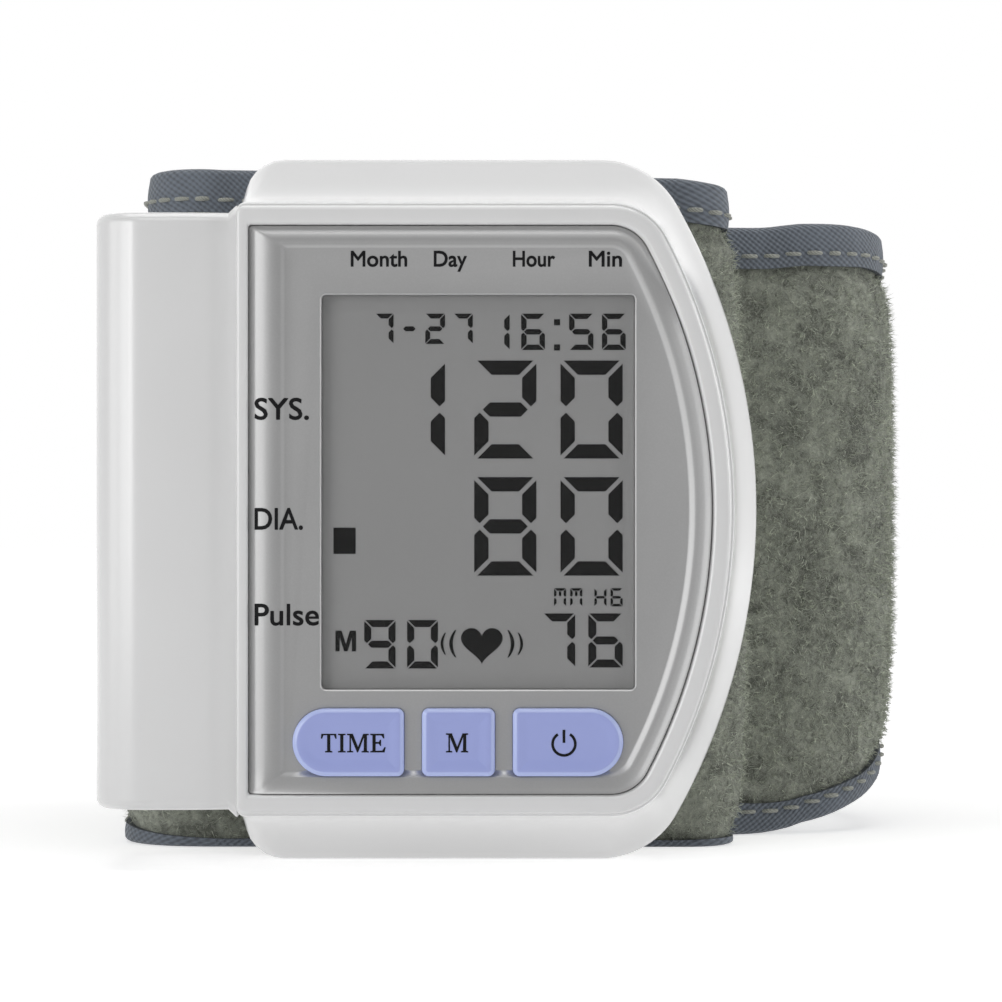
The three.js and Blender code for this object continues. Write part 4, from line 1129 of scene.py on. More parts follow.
def make_display(settings):
    """The display: clear lens, grey liquid crystal glass and the dark segments on it."""
    low = Vector((OPENING["left"] + LENS_GAP, LENS_DEPTH, OPENING["low"] + LENS_GAP))
    high = Vector((OPENING["right"] - LENS_GAP, PANEL_BACK - 0.15, OPENING["high"] - LENS_GAP))
    lens = plate("lens_plate", low, high, 0.46, 0.1)
    finish_piece(lens, lens_plastic(), "root", "lens", "display_lens")
    low, high = ((corner - UNIT_ORIGIN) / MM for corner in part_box("lcd_glass"))
    low.y = PANEL_BACK + GLASS_GAP
    glass = plate("glass_plate", low, high, 0.8, 0.1)
    finish_piece(glass, crystal_glass(settings.glass_colour), "root", "lcd", "lcd_glass")
    segments = flat_shapes("lcd_segments", lcd_shapes(), low.y - 0.01, 0.05)
    finish_piece(segments, segment_ink(settings.segment_colour), "root", "lcd")


# Printed words

# Left, right, low and high side of each word
WORDS = {
    "Month": (-14.8, -9.3, 24.0, 25.6), "Day": (-6.6, -3.4, 24.0, 25.6),
    "Hour": (1.2, 5.3, 24.0, 25.6), "Min": (8.7, 11.9, 24.0, 25.6),
    "SYS.": (-24.3, -19.0, 8.9, 11.1), "DIA.": (-24.3, -19.6, -1.95, 0.25),
    "Pulse": (-24.3, -18.0, -11.4, -9.2),
}
CAP_HEIGHT = 0.729
LETTER_RAISE = 0.045
INK_THICKNESS = 0.03
SERIF_WIDEN = 1.05
SERIF_BOLD = 0.028
SERIF_SPACING = 0.11
# Width and outline of each serif letter, for a height of 1
SERIF = {
    "T": (0.8, [
        (0.22, 0), (0.58, 0), (0.58, 0.04), (0.47, 0.06), (0.47, 0.95), (0.68, 0.95), (0.76, 0.76),
        (0.8, 0.76), (0.78, 1), (0.02, 1), (0, 0.76), (0.04, 0.76), (0.12, 0.95), (0.33, 0.95),
        (0.33, 0.06), (0.22, 0.04),
    ]),
    "I": (0.37, [
        (0, 0), (0.37, 0), (0.37, 0.04), (0.255, 0.06), (0.255, 0.94), (0.37, 0.96), (0.37, 1),
        (0, 1), (0, 0.96), (0.115, 0.94), (0.115, 0.06), (0, 0.04),
    ]),
    "M": (1.12, [
        (0, 0), (0.3, 0), (0.3, 0.04), (0.185, 0.06), (0.185, 0.84), (0.52, 0), (0.56, 0),
        (0.88, 0.84), (0.88, 0.06), (0.77, 0.04), (0.77, 0), (1.12, 0), (1.12, 0.04), (1.02, 0.06),
        (1.02, 0.94), (1.12, 0.96), (1.12, 1), (0.85, 1), (0.565, 0.26), (0.28, 1), (0, 1),
        (0, 0.96), (0.13, 0.94), (0.13, 0.06), (0, 0.04),
    ]),
    "E": (0.78, [
        (0, 0), (0.73, 0), (0.78, 0.26), (0.74, 0.26), (0.63, 0.07), (0.255, 0.06), (0.255, 0.48),
        (0.44, 0.48), (0.51, 0.36), (0.54, 0.36), (0.54, 0.67), (0.51, 0.67), (0.44, 0.55),
        (0.255, 0.55), (0.255, 0.94), (0.58, 0.94), (0.68, 0.78), (0.71, 0.78), (0.69, 1), (0, 1),
        (0, 0.96), (0.115, 0.94), (0.115, 0.06), (0, 0.04),
    ]),
}


def print_word(word, box, settings, panel):
    """One printed word, set in a box and laid over the panel and its raised border."""
    left, right, low, high = box
    curve = bpy.data.curves.new(f"word_{word.strip('.')}", "FONT")
    curve.body = word
    curve.size = 1.0
    curve.extrude = 0.5
    curve.resolution_u = 4
    text = new_object(curve.name, curve)
    mesh = final_mesh(text)
    bpy.data.objects.remove(text)
    bpy.data.curves.remove(curve)
    xs = [v.co.x for v in mesh.vertices]
    width = (right - left) / (max(xs) - min(xs))
    height = (high - low) / CAP_HEIGHT
    bm = bmesh.new()
    bm.from_mesh(mesh)
    bmesh.ops.remove_doubles(bm, verts=bm.verts, dist=1e-5)
    border = LEFT + LEFT_RIM_WIDTH + SHADOW_GAP
    reach = panel.border_width / MM * LEFT_STRETCH
    for i in range(1, BORDER_STEPS + 1):
        cut = (border + reach * i / BORDER_STEPS - left) / width + min(xs)
        slice_across(bm, (cut, 0, 0))
    bold = settings.letter_weight / MM
    for vert in bm.verts:
        vert.normal_update()
    pushes = {v: Vector((v.normal.x, v.normal.y, 0)) for v in bm.verts}
    for vert, push in pushes.items():
        x = left + (vert.co.x - min(xs)) * width
        z = low + vert.co.y * height
        if push.length > 0:
            push.normalize()
        x += push.x * bold
        z += push.y * bold
        surface = -border_rise(panel, (x - border) / reach)
        vert.co = at(x, surface - (LETTER_RAISE if vert.co.z > 0 else 0.0), z)
    bm.to_mesh(mesh)
    bm.free()
    return new_object(mesh.name, mesh)


def thickened(outline, amount):
    """An outline moved outwards by an amount, with mitred corners."""
    points = []
    for before, here, after in zip(outline[-1:] + outline[:-1], outline, outline[1:] + outline[:1]):
        first = (Vector(here) - Vector(before)).normalized()
        second = (Vector(after) - Vector(here)).normalized()
        across = Vector((first.y + second.y, -first.x - second.x))
        across.normalize()
        reach = amount / max(across.dot(Vector((first.y, -first.x))), 0.5)
        points.append(tuple(Vector(here) + across * reach))
    return points


def serif_word(word, left, low, height, depth):
    """Serif letters as flat outlines, printed on a button, a little wider than their drawing."""
    shapes, x = [], left
    for letter in word:
        width, outline = SERIF[letter]
        letter_outline = [(x + a * height * SERIF_WIDEN, low + b * height) for a, b in outline]
        shapes.append(thickened(letter_outline, SERIF_BOLD))
        x += (width * SERIF_WIDEN + SERIF_SPACING) * height
    return flat_shapes(f"print_{word.lower()}", shapes, depth, INK_THICKNESS)


def power_sign(centre_x, centre_z, radius, stroke, depth):
    """The sign for power: an open ring with a bar in its gap."""
    gap = math.radians(32)
    ring = arc(centre_x, centre_z, radius + stroke / 2, QUARTER + gap, 5 * QUARTER - gap, 40)
    ring += arc(centre_x, centre_z, radius - stroke / 2, 5 * QUARTER - gap, QUARTER + gap, 40)
    half = stroke / 2
    top, foot = centre_z + radius * 1.25, centre_z + radius * 0.1
    left, right = centre_x - half, centre_x + half
    bar = [(left, foot), (right, foot), (right, top), (left, top)]
    return flat_shapes("print_power", [ring, bar], depth, INK_THICKNESS)


def make_words(settings, panel):
    """The words beside and above the display."""
    for word, box in WORDS.items():
        obj = print_word(word, box, settings, panel)
        finish_piece(obj, print_ink(settings.ink_colour), "root", "silver_panel")


def make_buttons(settings, display):
    """Three caps with their printed words and sign."""
    for name in BUTTONS:
        make_button(name, settings)
    face = (settings.dish - settings.rise) / MM
    ink = print_ink(display.ink_colour)
    prints = {
        "time": serif_word("TIME", -17.72, -23.9, 1.78, face),
        "memory": serif_word("M", -5.4, -23.9, 1.82, face),
        "power": power_sign(6.2, -23.1, 1.12, 0.27, face),
    }
    for name, obj in prints.items():
        finish_piece(obj, ink, f"button_{name}", "button_blue")


# Cuff: one path in plan, with the heights of its edges at each corner

# How late the cuff thins towards its edges
CROWN_POWER = 4
CUFF_DEPTH = 61.15
# The path's corners, with their radii
PLAN = [
    (15.5, 28.15, 0.0), (21.8, 0.0, 2.6), (-36.7, 0.0, 6.5), (-36.7, CUFF_DEPTH, 27.0),
    (3.0, CUFF_DEPTH, 0.0), (40.0, CUFF_DEPTH, 20.0), (40.0, 23.15, 12.0), (23.6, 16.65, 0.0),
]
# The anchor plate keeps the cuff this far behind the unit
PLATE_DEPTH = 2.6
# Half of the cuff's thickness, in the middle of its height and at its edges
HALF_MIDDLE = 3.25
HALF_EDGE = 1.35
NEAR_DEPTH = REAR_DEPTH + PLATE_DEPTH + HALF_MIDDLE
CUFF_TOP = BASE["height"] / 2 + 0.45
CUFF_BOTTOM = -BASE["height"] / 2
# In the back of the cuff, what lies to the right of this bends with the strap
SPLIT_X = -20.0
# Thickness of each layer, the tape's distance from the cloth, and how far tape and pile swell out
FLEECE = 1.3
FORMER = 0.8
LINING = 0.8
TAPE = 0.6
TAPE_GAP = 0.12
TAPE_SWELL = 0.25
PILE = 0.75
# How far inner layers stay clear of the cloth's long edges and of its ends
FORMER_MARGIN = 8.5
HOOK_MARGIN = 9.0
END_MARGIN = 1.0
HOOK_START = 5.75
# How boxy the tape's fold is: 1 is round, less is squarer
FOLD_POWER = 0.62
# Places along the cuff, as corner numbers, with: how far its top drops and its bottom rises, how
# far the fleece swells out of its bindings, the visible heights of the tapes, and the sideways
# lean at the cuff's middle and for each mm of height
TOP_DROP = [
    (0.0, 2.5), (1.0, 1.6), (2.0, 0.1), (3.0, 1.0), (4.0, 2.6), (5.0, 5.8), (5.5, 6.6), (5.75, 5.6),
    (6.1, 4.7), (6.6, 5.3), (7.0, 5.4),
]
BOTTOM_RISE = [
    (0.0, 0.6), (1.0, 0.0), (2.0, 0.0), (3.0, 0.0), (4.0, 2.4), (5.0, 6.0), (5.5, 7.4), (5.75, 6.2),
    (6.03, 3.0), (6.25, 1.1), (6.6, 0.15), (7.0, 0.0),
]
PILE_SHARE = [(1.24, 1.0), (1.29, 0.0), (1.76, 0.0), (1.95, 1.0)]
TOP_TAPE = [(0.0, 4.7), (1.0, 4.7)]
BOTTOM_TAPE = [(1.7, 0.9), (2.05, 1.6), (2.75, 4.0), (4.5, 3.8), (5.5, 3.3), (6.2, 3.0), (7.0, 3.8)]
LEAN = [(0.2, 0.0), (0.8, 0.7), (1.25, 0.7), (1.6, 0.35), (2.75, 0.35), (3.3, 0.0)]
TILT = [
    (0.2, 0.0), (0.8, -0.018), (1.25, -0.018), (1.5, 0.0), (1.7, 0.0), (1.9, 0.043), (2.75, 0.043),
    (3.3, 0.0),
]
# Both parts of the cuff, with the word that begins the names of their CAD nodes
PARTS = {"wrap": "cuff", "strap": "strap"}
SIDES = {"top": 1, "bottom": -1}


def cuff_path(step):
    """Stations along the cuff: point, direction, corner number and distance from the start."""
    corners = [(Vector((x, NEAR_DEPTH + y)), round_) for x, y, round_ in PLAN]
    raw = []
    for i, (here, round_) in enumerate(corners):
        if round_ == 0:
            first, last = (here, corners[1][0]) if i == 0 else (corners[i - 1][0], here)
            raw.append((here, (last - first).normalized(), float(i)))
            continue
        before = (here - corners[i - 1][0]).normalized()
        after = (corners[i + 1][0] - here).normalized()
        turn = math.acos(max(-1.0, min(1.0, before.dot(after))))
        start = here - before * (round_ * math.tan(turn / 2))
        centre = start + Vector((before.y, -before.x)) * round_
        steps = max(4, math.ceil(turn * round_ / step), math.ceil(math.degrees(turn) / 6))
        for k in range(steps + 1):
            turned = Matrix.Rotation(-turn * k / steps, 2)
            place = centre + turned @ (start - centre)
            raw.append((place, turned @ before, i - 0.25 + 0.5 * k / steps))
    stations = []
    for point, along, corner in raw:
        if stations:
            last, last_along, last_corner = stations[-1]
            length = (point - last).length
            if length < 1e-6:
                continue
            if length > step * 1.5:
                parts = math.ceil(length / step)
                for share in (k / parts for k in range(1, parts)):
                    stations.append((
                        last.lerp(point, share), last_along.lerp(along, share).normalized(),
                        last_corner + (corner - last_corner) * share,
                    ))
        stations.append((point, along, corner))
    result, travelled, last = [], 0.0, stations[0][0]
    for point, along, corner in stations:
        travelled += (point - last).length
        result.append((point, along, corner, travelled))
        last = point
    return result


def edge_heights(corner):
    """Top and bottom of the cuff at a place between two corners."""
    return CUFF_TOP - catmull(TOP_DROP, corner), CUFF_BOTTOM + catmull(BOTTOM_RISE, corner)


def along_cuff(table, corner):
    """Value of a table at a place along the cuff, straight between its entries."""
    before = max((entry for entry in table if entry[0] <= corner), default=table[0])
    after = min((entry for entry in table if entry[0] > corner), default=table[-1])
    share = (corner - before[0]) / (after[0] - before[0]) if after[0] > before[0] else 0.0
    return before[1] + (after[1] - before[1]) * min(max(share, 0.0), 1.0)


def cuff_point(point, along, corner, offset, height):
    """A point of the cuff: so far out of its middle path, at a height, with the cuff's lean."""
    lean = along_cuff(LEAN, corner) + along_cuff(TILT, corner) * height
    return at(point.x - along.y * offset + lean, point.y + along.x * offset, height)


def tape_height(side, corner):
    """Visible height of the tape on the outer face: side is 1 at the top, -1 at the bottom."""
    return along_cuff(TOP_TAPE if side > 0 else BOTTOM_TAPE, corner)


def pile(share, corner, half):
    """How far the fleece swells out between its bindings."""
    room = min(half - tape_height(side, corner) - side * share * half for side in (1, -1))
    rise = min(max(room / 2.4, 0.0), 1.0)
    return PILE * along_cuff(PILE_SHARE, corner) * rise * rise * (3 - 2 * rise)


def crown(share):
    """How much thicker the cuff is at a share of its half height than at its edge."""
    return (HALF_MIDDLE - HALF_EDGE) * (1 - abs(share) ** CROWN_POWER)


def fleece_out(share):
    """Offset of the fleece's outer face."""
    return HALF_EDGE + crown(share)


def lining_in(share):
    """Offset of the lining's face, towards the wrist."""
    return -(HALF_EDGE - FLEECE + LINING) - crown(share)


RIPPLE_SEED = 3.7


def ripple(travelled, height, amount, scale):
    """A small unevenness of cloth, the same wherever two pieces meet."""
    return amount * noise.noise(Vector((travelled / scale, height / scale, RIPPLE_SEED)))


def cuff_piece(name, stations, section):
    """Sweeps a section along stations; its UV map is metres along and across the cloth."""
    bm = bmesh.new()
    layer = bm.loops.layers.uv.new("cloth")

    def add_face(corners):
        face = bm.faces.new([vert for vert, _ in corners])
        for loop, (_, uv) in zip(face.loops, corners):
            loop[layer].uv = uv

    rings = []
    for point, along, corner, travelled in stations:
        ring = []
        for offset, height, across in section(corner, travelled):
            place = cuff_point(point, along, corner, offset, height)
            ring.append((bm.verts.new(place), (travelled * MM, across * MM)))
        rings.append(ring)
    for first, second in zip(rings, rings[1:]):
        for i, j in around(len(first)):
            add_face((first[i], second[i], second[j], first[j]))
    add_face(rings[0])
    add_face(rings[-1])
    return smooth_object(name, bm, 50)


def middle_and_half(corner):
    """Middle height and half height of the cuff at a place between two corners."""
    high, low = edge_heights(corner)
    return (high + low) / 2, (high - low) / 2


def moved(face, amount):
    """The face of a layer, moved outwards by an amount."""
    return lambda share: face(share) + amount


def band_section(outer, inner, margin, rows, bumps=0.0):
    """Section of one layer between two offsets; with bumps it swells out like fleece."""
    def section(corner, travelled):
        middle, half = middle_and_half(corner)
        used = (half - margin) / half
        shares = [used * (2 * i / rows - 1) for i in range(rows + 1)]
        swell = [
            pile(s, corner, half) + ripple(travelled, s * half, bumps, 2.2) * (1 - abs(s) ** 8)
            if bumps else 0.0 for s in shares
        ]
        heights = [middle + s * half for s in shares]
        out = [(outer(s) + rise, z, z) for s, z, rise in zip(shares, heights, swell)]
        back = [(inner(s), z, z) for s, z in zip(shares, heights)]
        return out + back[::-1]
    return section


def tape_section(side):
    """Section of the binding tape folded over one edge: side is 1 at the top, -1 at the bottom."""
    def section(corner, travelled):
        middle, half = middle_and_half(corner)
        depth = tape_height(side, corner) + ripple(travelled, 0, 0.25, 6)
        inner_depth = TOP_TAPE[0][1]
        start = half - min(1.2, depth * 0.6)
        crest = half - start

        def outer(height, grow):
            up = min(max((height - half + depth) / depth, 0.0), 1.0)
            swell = TAPE_SWELL * math.sin(math.pi * up)
            foot = fleece_out((half - depth) / half)
            thick = foot * 0.75 + fleece_out(min(height / half, 1.0)) * 0.25
            return thick + TAPE_GAP + grow + swell * min(depth / 4, 1.0)

        def inner(height, grow):
            return lining_in(min(height / half, 1.0)) - TAPE_GAP - grow

        def fold(grow):
            far, near = outer(start, grow), inner(start, grow)
            rise = crest - (TAPE - grow)
            places = []
            for i in range(1, 10):
                turn = math.pi * i / 10
                sideways = math.copysign(abs(math.cos(turn)) ** FOLD_POWER, math.cos(turn))
                height = start + rise * math.sin(turn) ** FOLD_POWER
                places.append(((far + near) / 2 + (far - near) / 2 * sideways, height))
            return places

        out = [half - depth + (depth - crest) * i / 5 for i in range(6)]
        back = [half - inner_depth + (inner_depth - crest) * i / 5 for i in range(5, -1, -1)]
        skins = [
            [(outer(h, grow), h) for h in out] + fold(grow) + [(inner(h, grow), h) for h in back]
            for grow in (TAPE, 0)
        ]
        places = skins[0] + skins[1][::-1]
        result, across, last = [], 0.0, places[0]
        for offset, height in places:
            across += math.hypot(offset - last[0], height - last[1])
            last = (offset, height)
            result.append((offset, middle + side * height, across))
        return result
    return section


def cuff_parts(start_corner=None, end_margin=0.0, step=1.6):
    """Stations of the fixed part of the cuff and of the part that bends with the strap."""
    stations = cuff_path(step)
    split = next(
        i for i, (point, _, corner, _) in enumerate(stations) if corner > 3 and point.x > SPLIT_X
    )
    fixed, bending = stations[:split + 1], stations[split:]
    if end_margin:
        length = stations[-1][3]
        fixed = [s for s in fixed if s[3] >= end_margin]
        bending = [s for s in bending if s[3] <= length - end_margin]
    if start_corner is not None:
        bending = [s for s in bending if s[2] >= start_corner]
    return fixed, bending


def bend_with_strap(obj):
    """Lets a piece turn smoothly from the fixed cuff to the strap."""
    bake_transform(obj)


def hold(obj, part, nodes=None):
    """Fixes a piece of the cuff to the unit, or bends it with the strap, and names what it is."""
    if part == "strap":
        bend_with_strap(obj)
    else:
        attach(obj, "root")
    if nodes is not None:
        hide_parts(*nodes)


def cuff_layer(name, outer, inner, margin, rows, material, nodes, bumps=0.0, end_margin=0.0):
    """One layer of the cuff, as a fixed piece and a bending piece."""
    made = []
    for part, stations, replaced in zip(PARTS, cuff_parts(end_margin=end_margin), nodes):
        section = band_section(outer, inner, margin, rows, bumps)
        obj = cuff_piece(f"{name}_{part}", stations, section)
        obj.data.materials.append(material)
        hold(obj, part, replaced)
        made.append(obj)
    return made


def make_cuff_layers(settings):
    """Fleece outside, a stiff former, the air bladder, and the smooth lining inside."""
    fleece_in = moved(fleece_out, -FLEECE)
    former_out = moved(fleece_in, -GAP)
    former_in = moved(former_out, -FORMER)
    lining_out = moved(lining_in, LINING)
    brushed = fleece_cloth(settings.fleece_colour)
    woven = lining_cloth(settings.lining_colour)
    fleece = cuff_layer(
        "fleece", fleece_out, fleece_in, TAPE + 0.15, 44, brushed,
        (("cuff_fleece",), ("strap_fleece",)), settings.unevenness / MM,
    )
    cuff_layer(
        "lining", lining_out, lining_in, TAPE + GAP, 30, woven,
        (("cuff_lining",), ("strap_lining",)),
    )
    cuff_layer(
        "former", former_out, former_in, FORMER_MARGIN, 8, inner_plastic(),
        (("cuff_former",), ("strap_former",)), end_margin=END_MARGIN,
    )
    cuff_layer(
        "bladder", moved(former_in, -GAP), moved(lining_out, GAP), FORMER_MARGIN, 8,
        rubber_sheet(), (("cuff_bladder",), ()), end_margin=END_MARGIN,
    )


def make_bindings(settings):
    """The tape folded over the top and bottom edges of the cuff, and sewn down."""
    for word, side in SIDES.items():
        for part, stations in zip(PARTS, cuff_parts()):
            obj = cuff_piece(f"tape_{word}_{part}", stations, tape_section(side))
            obj.data.materials.append(binding_tape(settings.tape_colour))
            hold(obj, part, [f"{PARTS[part]}_binding_{word}"])


def make_hook_patch(settings):
    """The hook strip on the inner side of the strap's tip."""
    stations = cuff_parts(start_corner=HOOK_START, end_margin=END_MARGIN)[1]
    face = moved(lining_in, -GAP)
    section = band_section(face, moved(face, -settings.hook_height / MM), HOOK_MARGIN, 24)
    obj = cuff_piece("hook_patch", stations, section)
    finish_piece(obj, hook_tape(), "cuff_strap", "hook_tape", "strap_hook_patch")


# Geometry Nodes: stitches along the tape, fibres on the fleece, screws in their wells

NAMED_ATTRIBUTE = "GeometryNodeInputNamedAttribute"
RANDOM = "FunctionNodeRandomValue"
COPIER_NODES = {
    "start": ("NodeGroupInput", {}, {}),
    "end": ("NodeGroupOutput", {}, {}),
    "info": ("GeometryNodeObjectInfo", {}, {}),
    "instance": ("GeometryNodeInstanceOnPoints", {}, {}),
    "realize": ("GeometryNodeRealizeInstances", {}, {}),
    "finish": ("GeometryNodeSetMaterial", {}, {}),
}
COPIER_WIRES = {
    "info.Object": "start.Unit", "instance.Instance": "info.Geometry",
    "realize.Geometry": "instance.Instances", "finish.Geometry": "realize.Geometry",
    "finish.Material": "start.Finish", "end.Geometry": "finish.Geometry",
}


def copier_tree(name, inputs, nodes, wires):
    """A geometry node tree that copies a unit onto points; wires lead each input to its source."""
    tree = bpy.data.node_groups.new(name, "GeometryNodeTree")
    tree.interface.new_socket("Geometry", in_out="INPUT", socket_type="NodeSocketGeometry")
    inputs = {"Unit": ("Object", None), "Finish": ("Material", None), **inputs}
    for label, (kind, default) in inputs.items():
        socket = tree.interface.new_socket(label, in_out="INPUT", socket_type=f"NodeSocket{kind}")
        if default is not None:
            socket.default_value = default
    tree.interface.new_socket("Geometry", in_out="OUTPUT", socket_type="NodeSocketGeometry")
    made = {}
    for key, (kind, settings, values) in {**COPIER_NODES, **nodes}.items():
        made[key] = tree.nodes.new(kind)
        for label, value in settings.items():
            setattr(made[key], label, value)
        for label, value in values.items():
            made[key].inputs[label].default_value = value

    def socket(address, side):
        key, label = address.split(".")
        return getattr(made[key], side)[int(label) if label.isdigit() else label]

    for target, source in {**COPIER_WIRES, **wires}.items():
        tree.links.new(socket(source, "outputs"), socket(target, "inputs"))
    return tree


def apply_tree(obj, tree, values):
    """Runs a tree on an object with its named inputs set, and keeps the result as a mesh."""
    modifier = obj.modifiers.new(tree.name, "NODES")
    modifier.node_group = tree
    for item in tree.interface.items_tree:
        if item.item_type == "SOCKET" and item.in_out == "INPUT" and item.name in values:
            modifier[item.identifier] = values[item.name]
    mesh = final_mesh(obj)
    mesh.name = obj.name
    obj.modifiers.clear()
    result = new_object(f"{obj.name}_made", mesh)
    bpy.data.objects.remove(obj)
    return result


STITCH_RINGS = (
    (-1, -0.35, 0.1), (-0.7, 0.02, 0.2), (0, 0.16, 0.24), (0.7, 0.02, 0.2), (1, -0.35, 0.1),
)


def stitch_mesh():
    """One stitch: a short plump bar of thread, along X, that dips into the cloth at its ends."""
    rings = []
    turns = [4 * QUARTER * i / 6 for i in range(6)]
    for x, rise, radius in STITCH_RINGS:
        rings.append([(x, radius * math.cos(a), rise + radius * math.sin(a)) for a in turns])
    return from_bmesh("stitch_unit", rings_to_bmesh(rings), 80)


def stitch_tree():
    """Copies a stitch along a path, turned along it, with small changes of length."""
    return copier_tree(
        "stitch_row",
        {"Spacing": ("Float", 0.003), "Length": ("Float", 0.001)},
        {
            "curve": ("GeometryNodeMeshToCurve", {}, {}),
            "resample": ("GeometryNodeResampleCurve", {"mode": "LENGTH"}, {}),
            "points": ("GeometryNodeCurveToPoints", {"mode": "EVALUATED"}, {}),
            "normal": (NAMED_ATTRIBUTE, {"data_type": "FLOAT_VECTOR"}, {"Name": "outward"}),
            "tangent": (NAMED_ATTRIBUTE, {"data_type": "FLOAT_VECTOR"}, {"Name": "along"}),
            "first": ("FunctionNodeAlignEulerToVector", {"axis": "Z"}, {}),
            "second": ("FunctionNodeAlignEulerToVector", {"axis": "X", "pivot_axis": "Z"}, {}),
            "vary": (RANDOM, {"data_type": "FLOAT_VECTOR"}, {
                "Min": (0.86, 0.9, 0.9), "Max": (1.1, 1.1, 1.1), "Seed": 4,
            }),
            "scale": ("ShaderNodeVectorMath", {"operation": "SCALE"}, {}),
        },
        {
            "curve.Mesh": "start.Geometry", "resample.Curve": "curve.Curve",
            "resample.Length": "start.Spacing", "points.Curve": "resample.Curve",
            "instance.Points": "points.Points", "first.Vector": "normal.Attribute",
            "second.Rotation": "first.Rotation", "second.Vector": "tangent.Attribute",
            "instance.Rotation": "second.Rotation", "scale.0": "vary.Value",
            "scale.Scale": "start.Length", "instance.Scale": "scale.Vector",
        },
    )


def path_with_frames(name, places):
    """A row of edges that carries its own outward and along directions."""
    mesh = bpy.data.meshes.new(name)
    mesh.from_pydata([p for p, _, _ in places], [(i, i + 1) for i in range(len(places) - 1)], [])
    for label, index in (("outward", 1), ("along", 2)):
        attribute = mesh.attributes.new(label, "FLOAT_VECTOR", "POINT")
        for item, place in zip(attribute.data, places):
            item.vector = place[index]
    return new_object(name, mesh)


# Only tape that shows at least this much is wide enough to be sewn
SEWN_TAPE = 2.5


def make_stitches(settings):
    """Rows of stitches near the inner edge of the binding tape, on the outer face of the cuff."""
    tree = stitch_tree()
    unit = stitch_mesh()
    values = {
        "Unit": unit, "Finish": sewing_thread(settings.thread_colour),
        "Spacing": settings.stitch_spacing, "Length": settings.stitch_length / 2,
    }
    for word, side in SIDES.items():
        for part, stations in zip(PARTS, cuff_parts()):
            places = []
            for point, along, corner, travelled in stations:
                if tape_height(side, corner) < SEWN_TAPE:
                    continue
                offset, height, _ = tape_section(side)(corner, travelled)[2]
                places.append((
                    cuff_point(point, along, corner, offset + 0.05, height),
                    Vector((-along.y, along.x, 0)), Vector((along.x, along.y, 0)),
                ))
            path = path_with_frames(f"stitches_{word}_{part}", places)
            hold(apply_tree(path, tree, values), part)
    bpy.data.objects.remove(unit)


def fibre_mesh():
    """One fibre of the fleece: a thin curved hair with three sides and a sharp tip, along Z."""
    bm = bmesh.new()
    rings = [
        [
            bm.verts.new((bow + radius * math.cos(a), radius * math.sin(a), height))
            for a in (0, 4 * QUARTER / 3, 8 * QUARTER / 3)
        ] for height, bow, radius in ((-0.15, 0, 0.045), (0.55, 0.16, 0.036))
    ]
    tip = bm.verts.new((0.62, 0, 1.0))
    bm.faces.new(rings[0][::-1])
    for i, j in around(3):
        bm.faces.new((rings[0][i], rings[0][j], rings[1][j], rings[1][i]))
        bm.faces.new((rings[1][i], rings[1][j], tip))
    return from_bmesh("fibre_unit", bm, 80)


def fibre_tree():
    """Scatters fibres over a face set, leaning at random, and makes them one mesh."""
    return copier_tree(
        "fleece_nap",
        {
            "Density": ("Float", 500000.0), "Length": ("Float", 0.0011), "Lean": ("Float", 0.9),
            "Seed": ("Int", 7),
        },
        {
            "scatter": (
                "GeometryNodeDistributePointsOnFaces", {"distribute_method": "RANDOM"}, {}
            ),
            "spin": (RANDOM, {"data_type": "FLOAT_VECTOR"}, {}),
            "turn": ("FunctionNodeRotateEuler", {"space": "LOCAL"}, {}),
            "least": ("ShaderNodeCombineXYZ", {}, {}),
            "most": ("ShaderNodeCombineXYZ", {}, {"Z": 4 * QUARTER}),
            "less": ("ShaderNodeMath", {"operation": "MULTIPLY"}, {1: -1.0}),
            "size": (RANDOM, {"data_type": "FLOAT"}, {2: 0.45, 3: 1.15, "Seed": 11}),
            "grow": ("ShaderNodeMath", {"operation": "MULTIPLY"}, {}),
        },
        {
            "scatter.Mesh": "start.Geometry", "scatter.Density": "start.Density",
            "scatter.Seed": "start.Seed", "instance.Points": "scatter.Points",
            "less.0": "start.Lean", "least.X": "less.Value", "least.Y": "less.Value",
            "most.X": "start.Lean", "most.Y": "start.Lean", "spin.Min": "least.Vector",
            "spin.Max": "most.Vector", "spin.Seed": "start.Seed",
            "turn.Rotation": "scatter.Rotation", "turn.Rotate By": "spin.Value",
            "instance.Rotation": "turn.Rotation", "grow.0": "size.1", "grow.1": "start.Length",
            "instance.Scale": "grow.Value",
        },
    )


def cloth_sheet(name, stations, rows):
    """An open sheet on the fleece between its bindings, for fibres to grow from."""
    bm = bmesh.new()
    rings = []
    for point, along, corner, _ in stations:
        middle, half = middle_and_half(corner)
        bottom = tape_height(-1, corner) + 0.2 - half
        top = half - tape_height(1, corner) - 0.2
        rings.append([])
        for i in range(rows + 1):
            share = (bottom + (top - bottom) * i / rows) / half
            offset = fleece_out(share) + pile(share, corner, half)
            place = cuff_point(point, along, corner, offset, middle + share * half)
            rings[-1].append(bm.verts.new(place))
    for first, second in zip(rings, rings[1:]):
        for i in range(rows):
            bm.faces.new((first[i + 1], second[i + 1], second[i], first[i]))
    return plain_object(name, bm)


# Pieces of nap: name, part of the cuff, first and last corner, and share of the full density
NAP = (
    ("end", "wrap", 0.0, 1.3, 1.0), ("wrap", "wrap", 1.3, 9.0, 0.32),
    ("strap", "strap", 0.0, 5.25, 0.32), ("tip", "strap", 5.25, 9.0, 1.0),
)


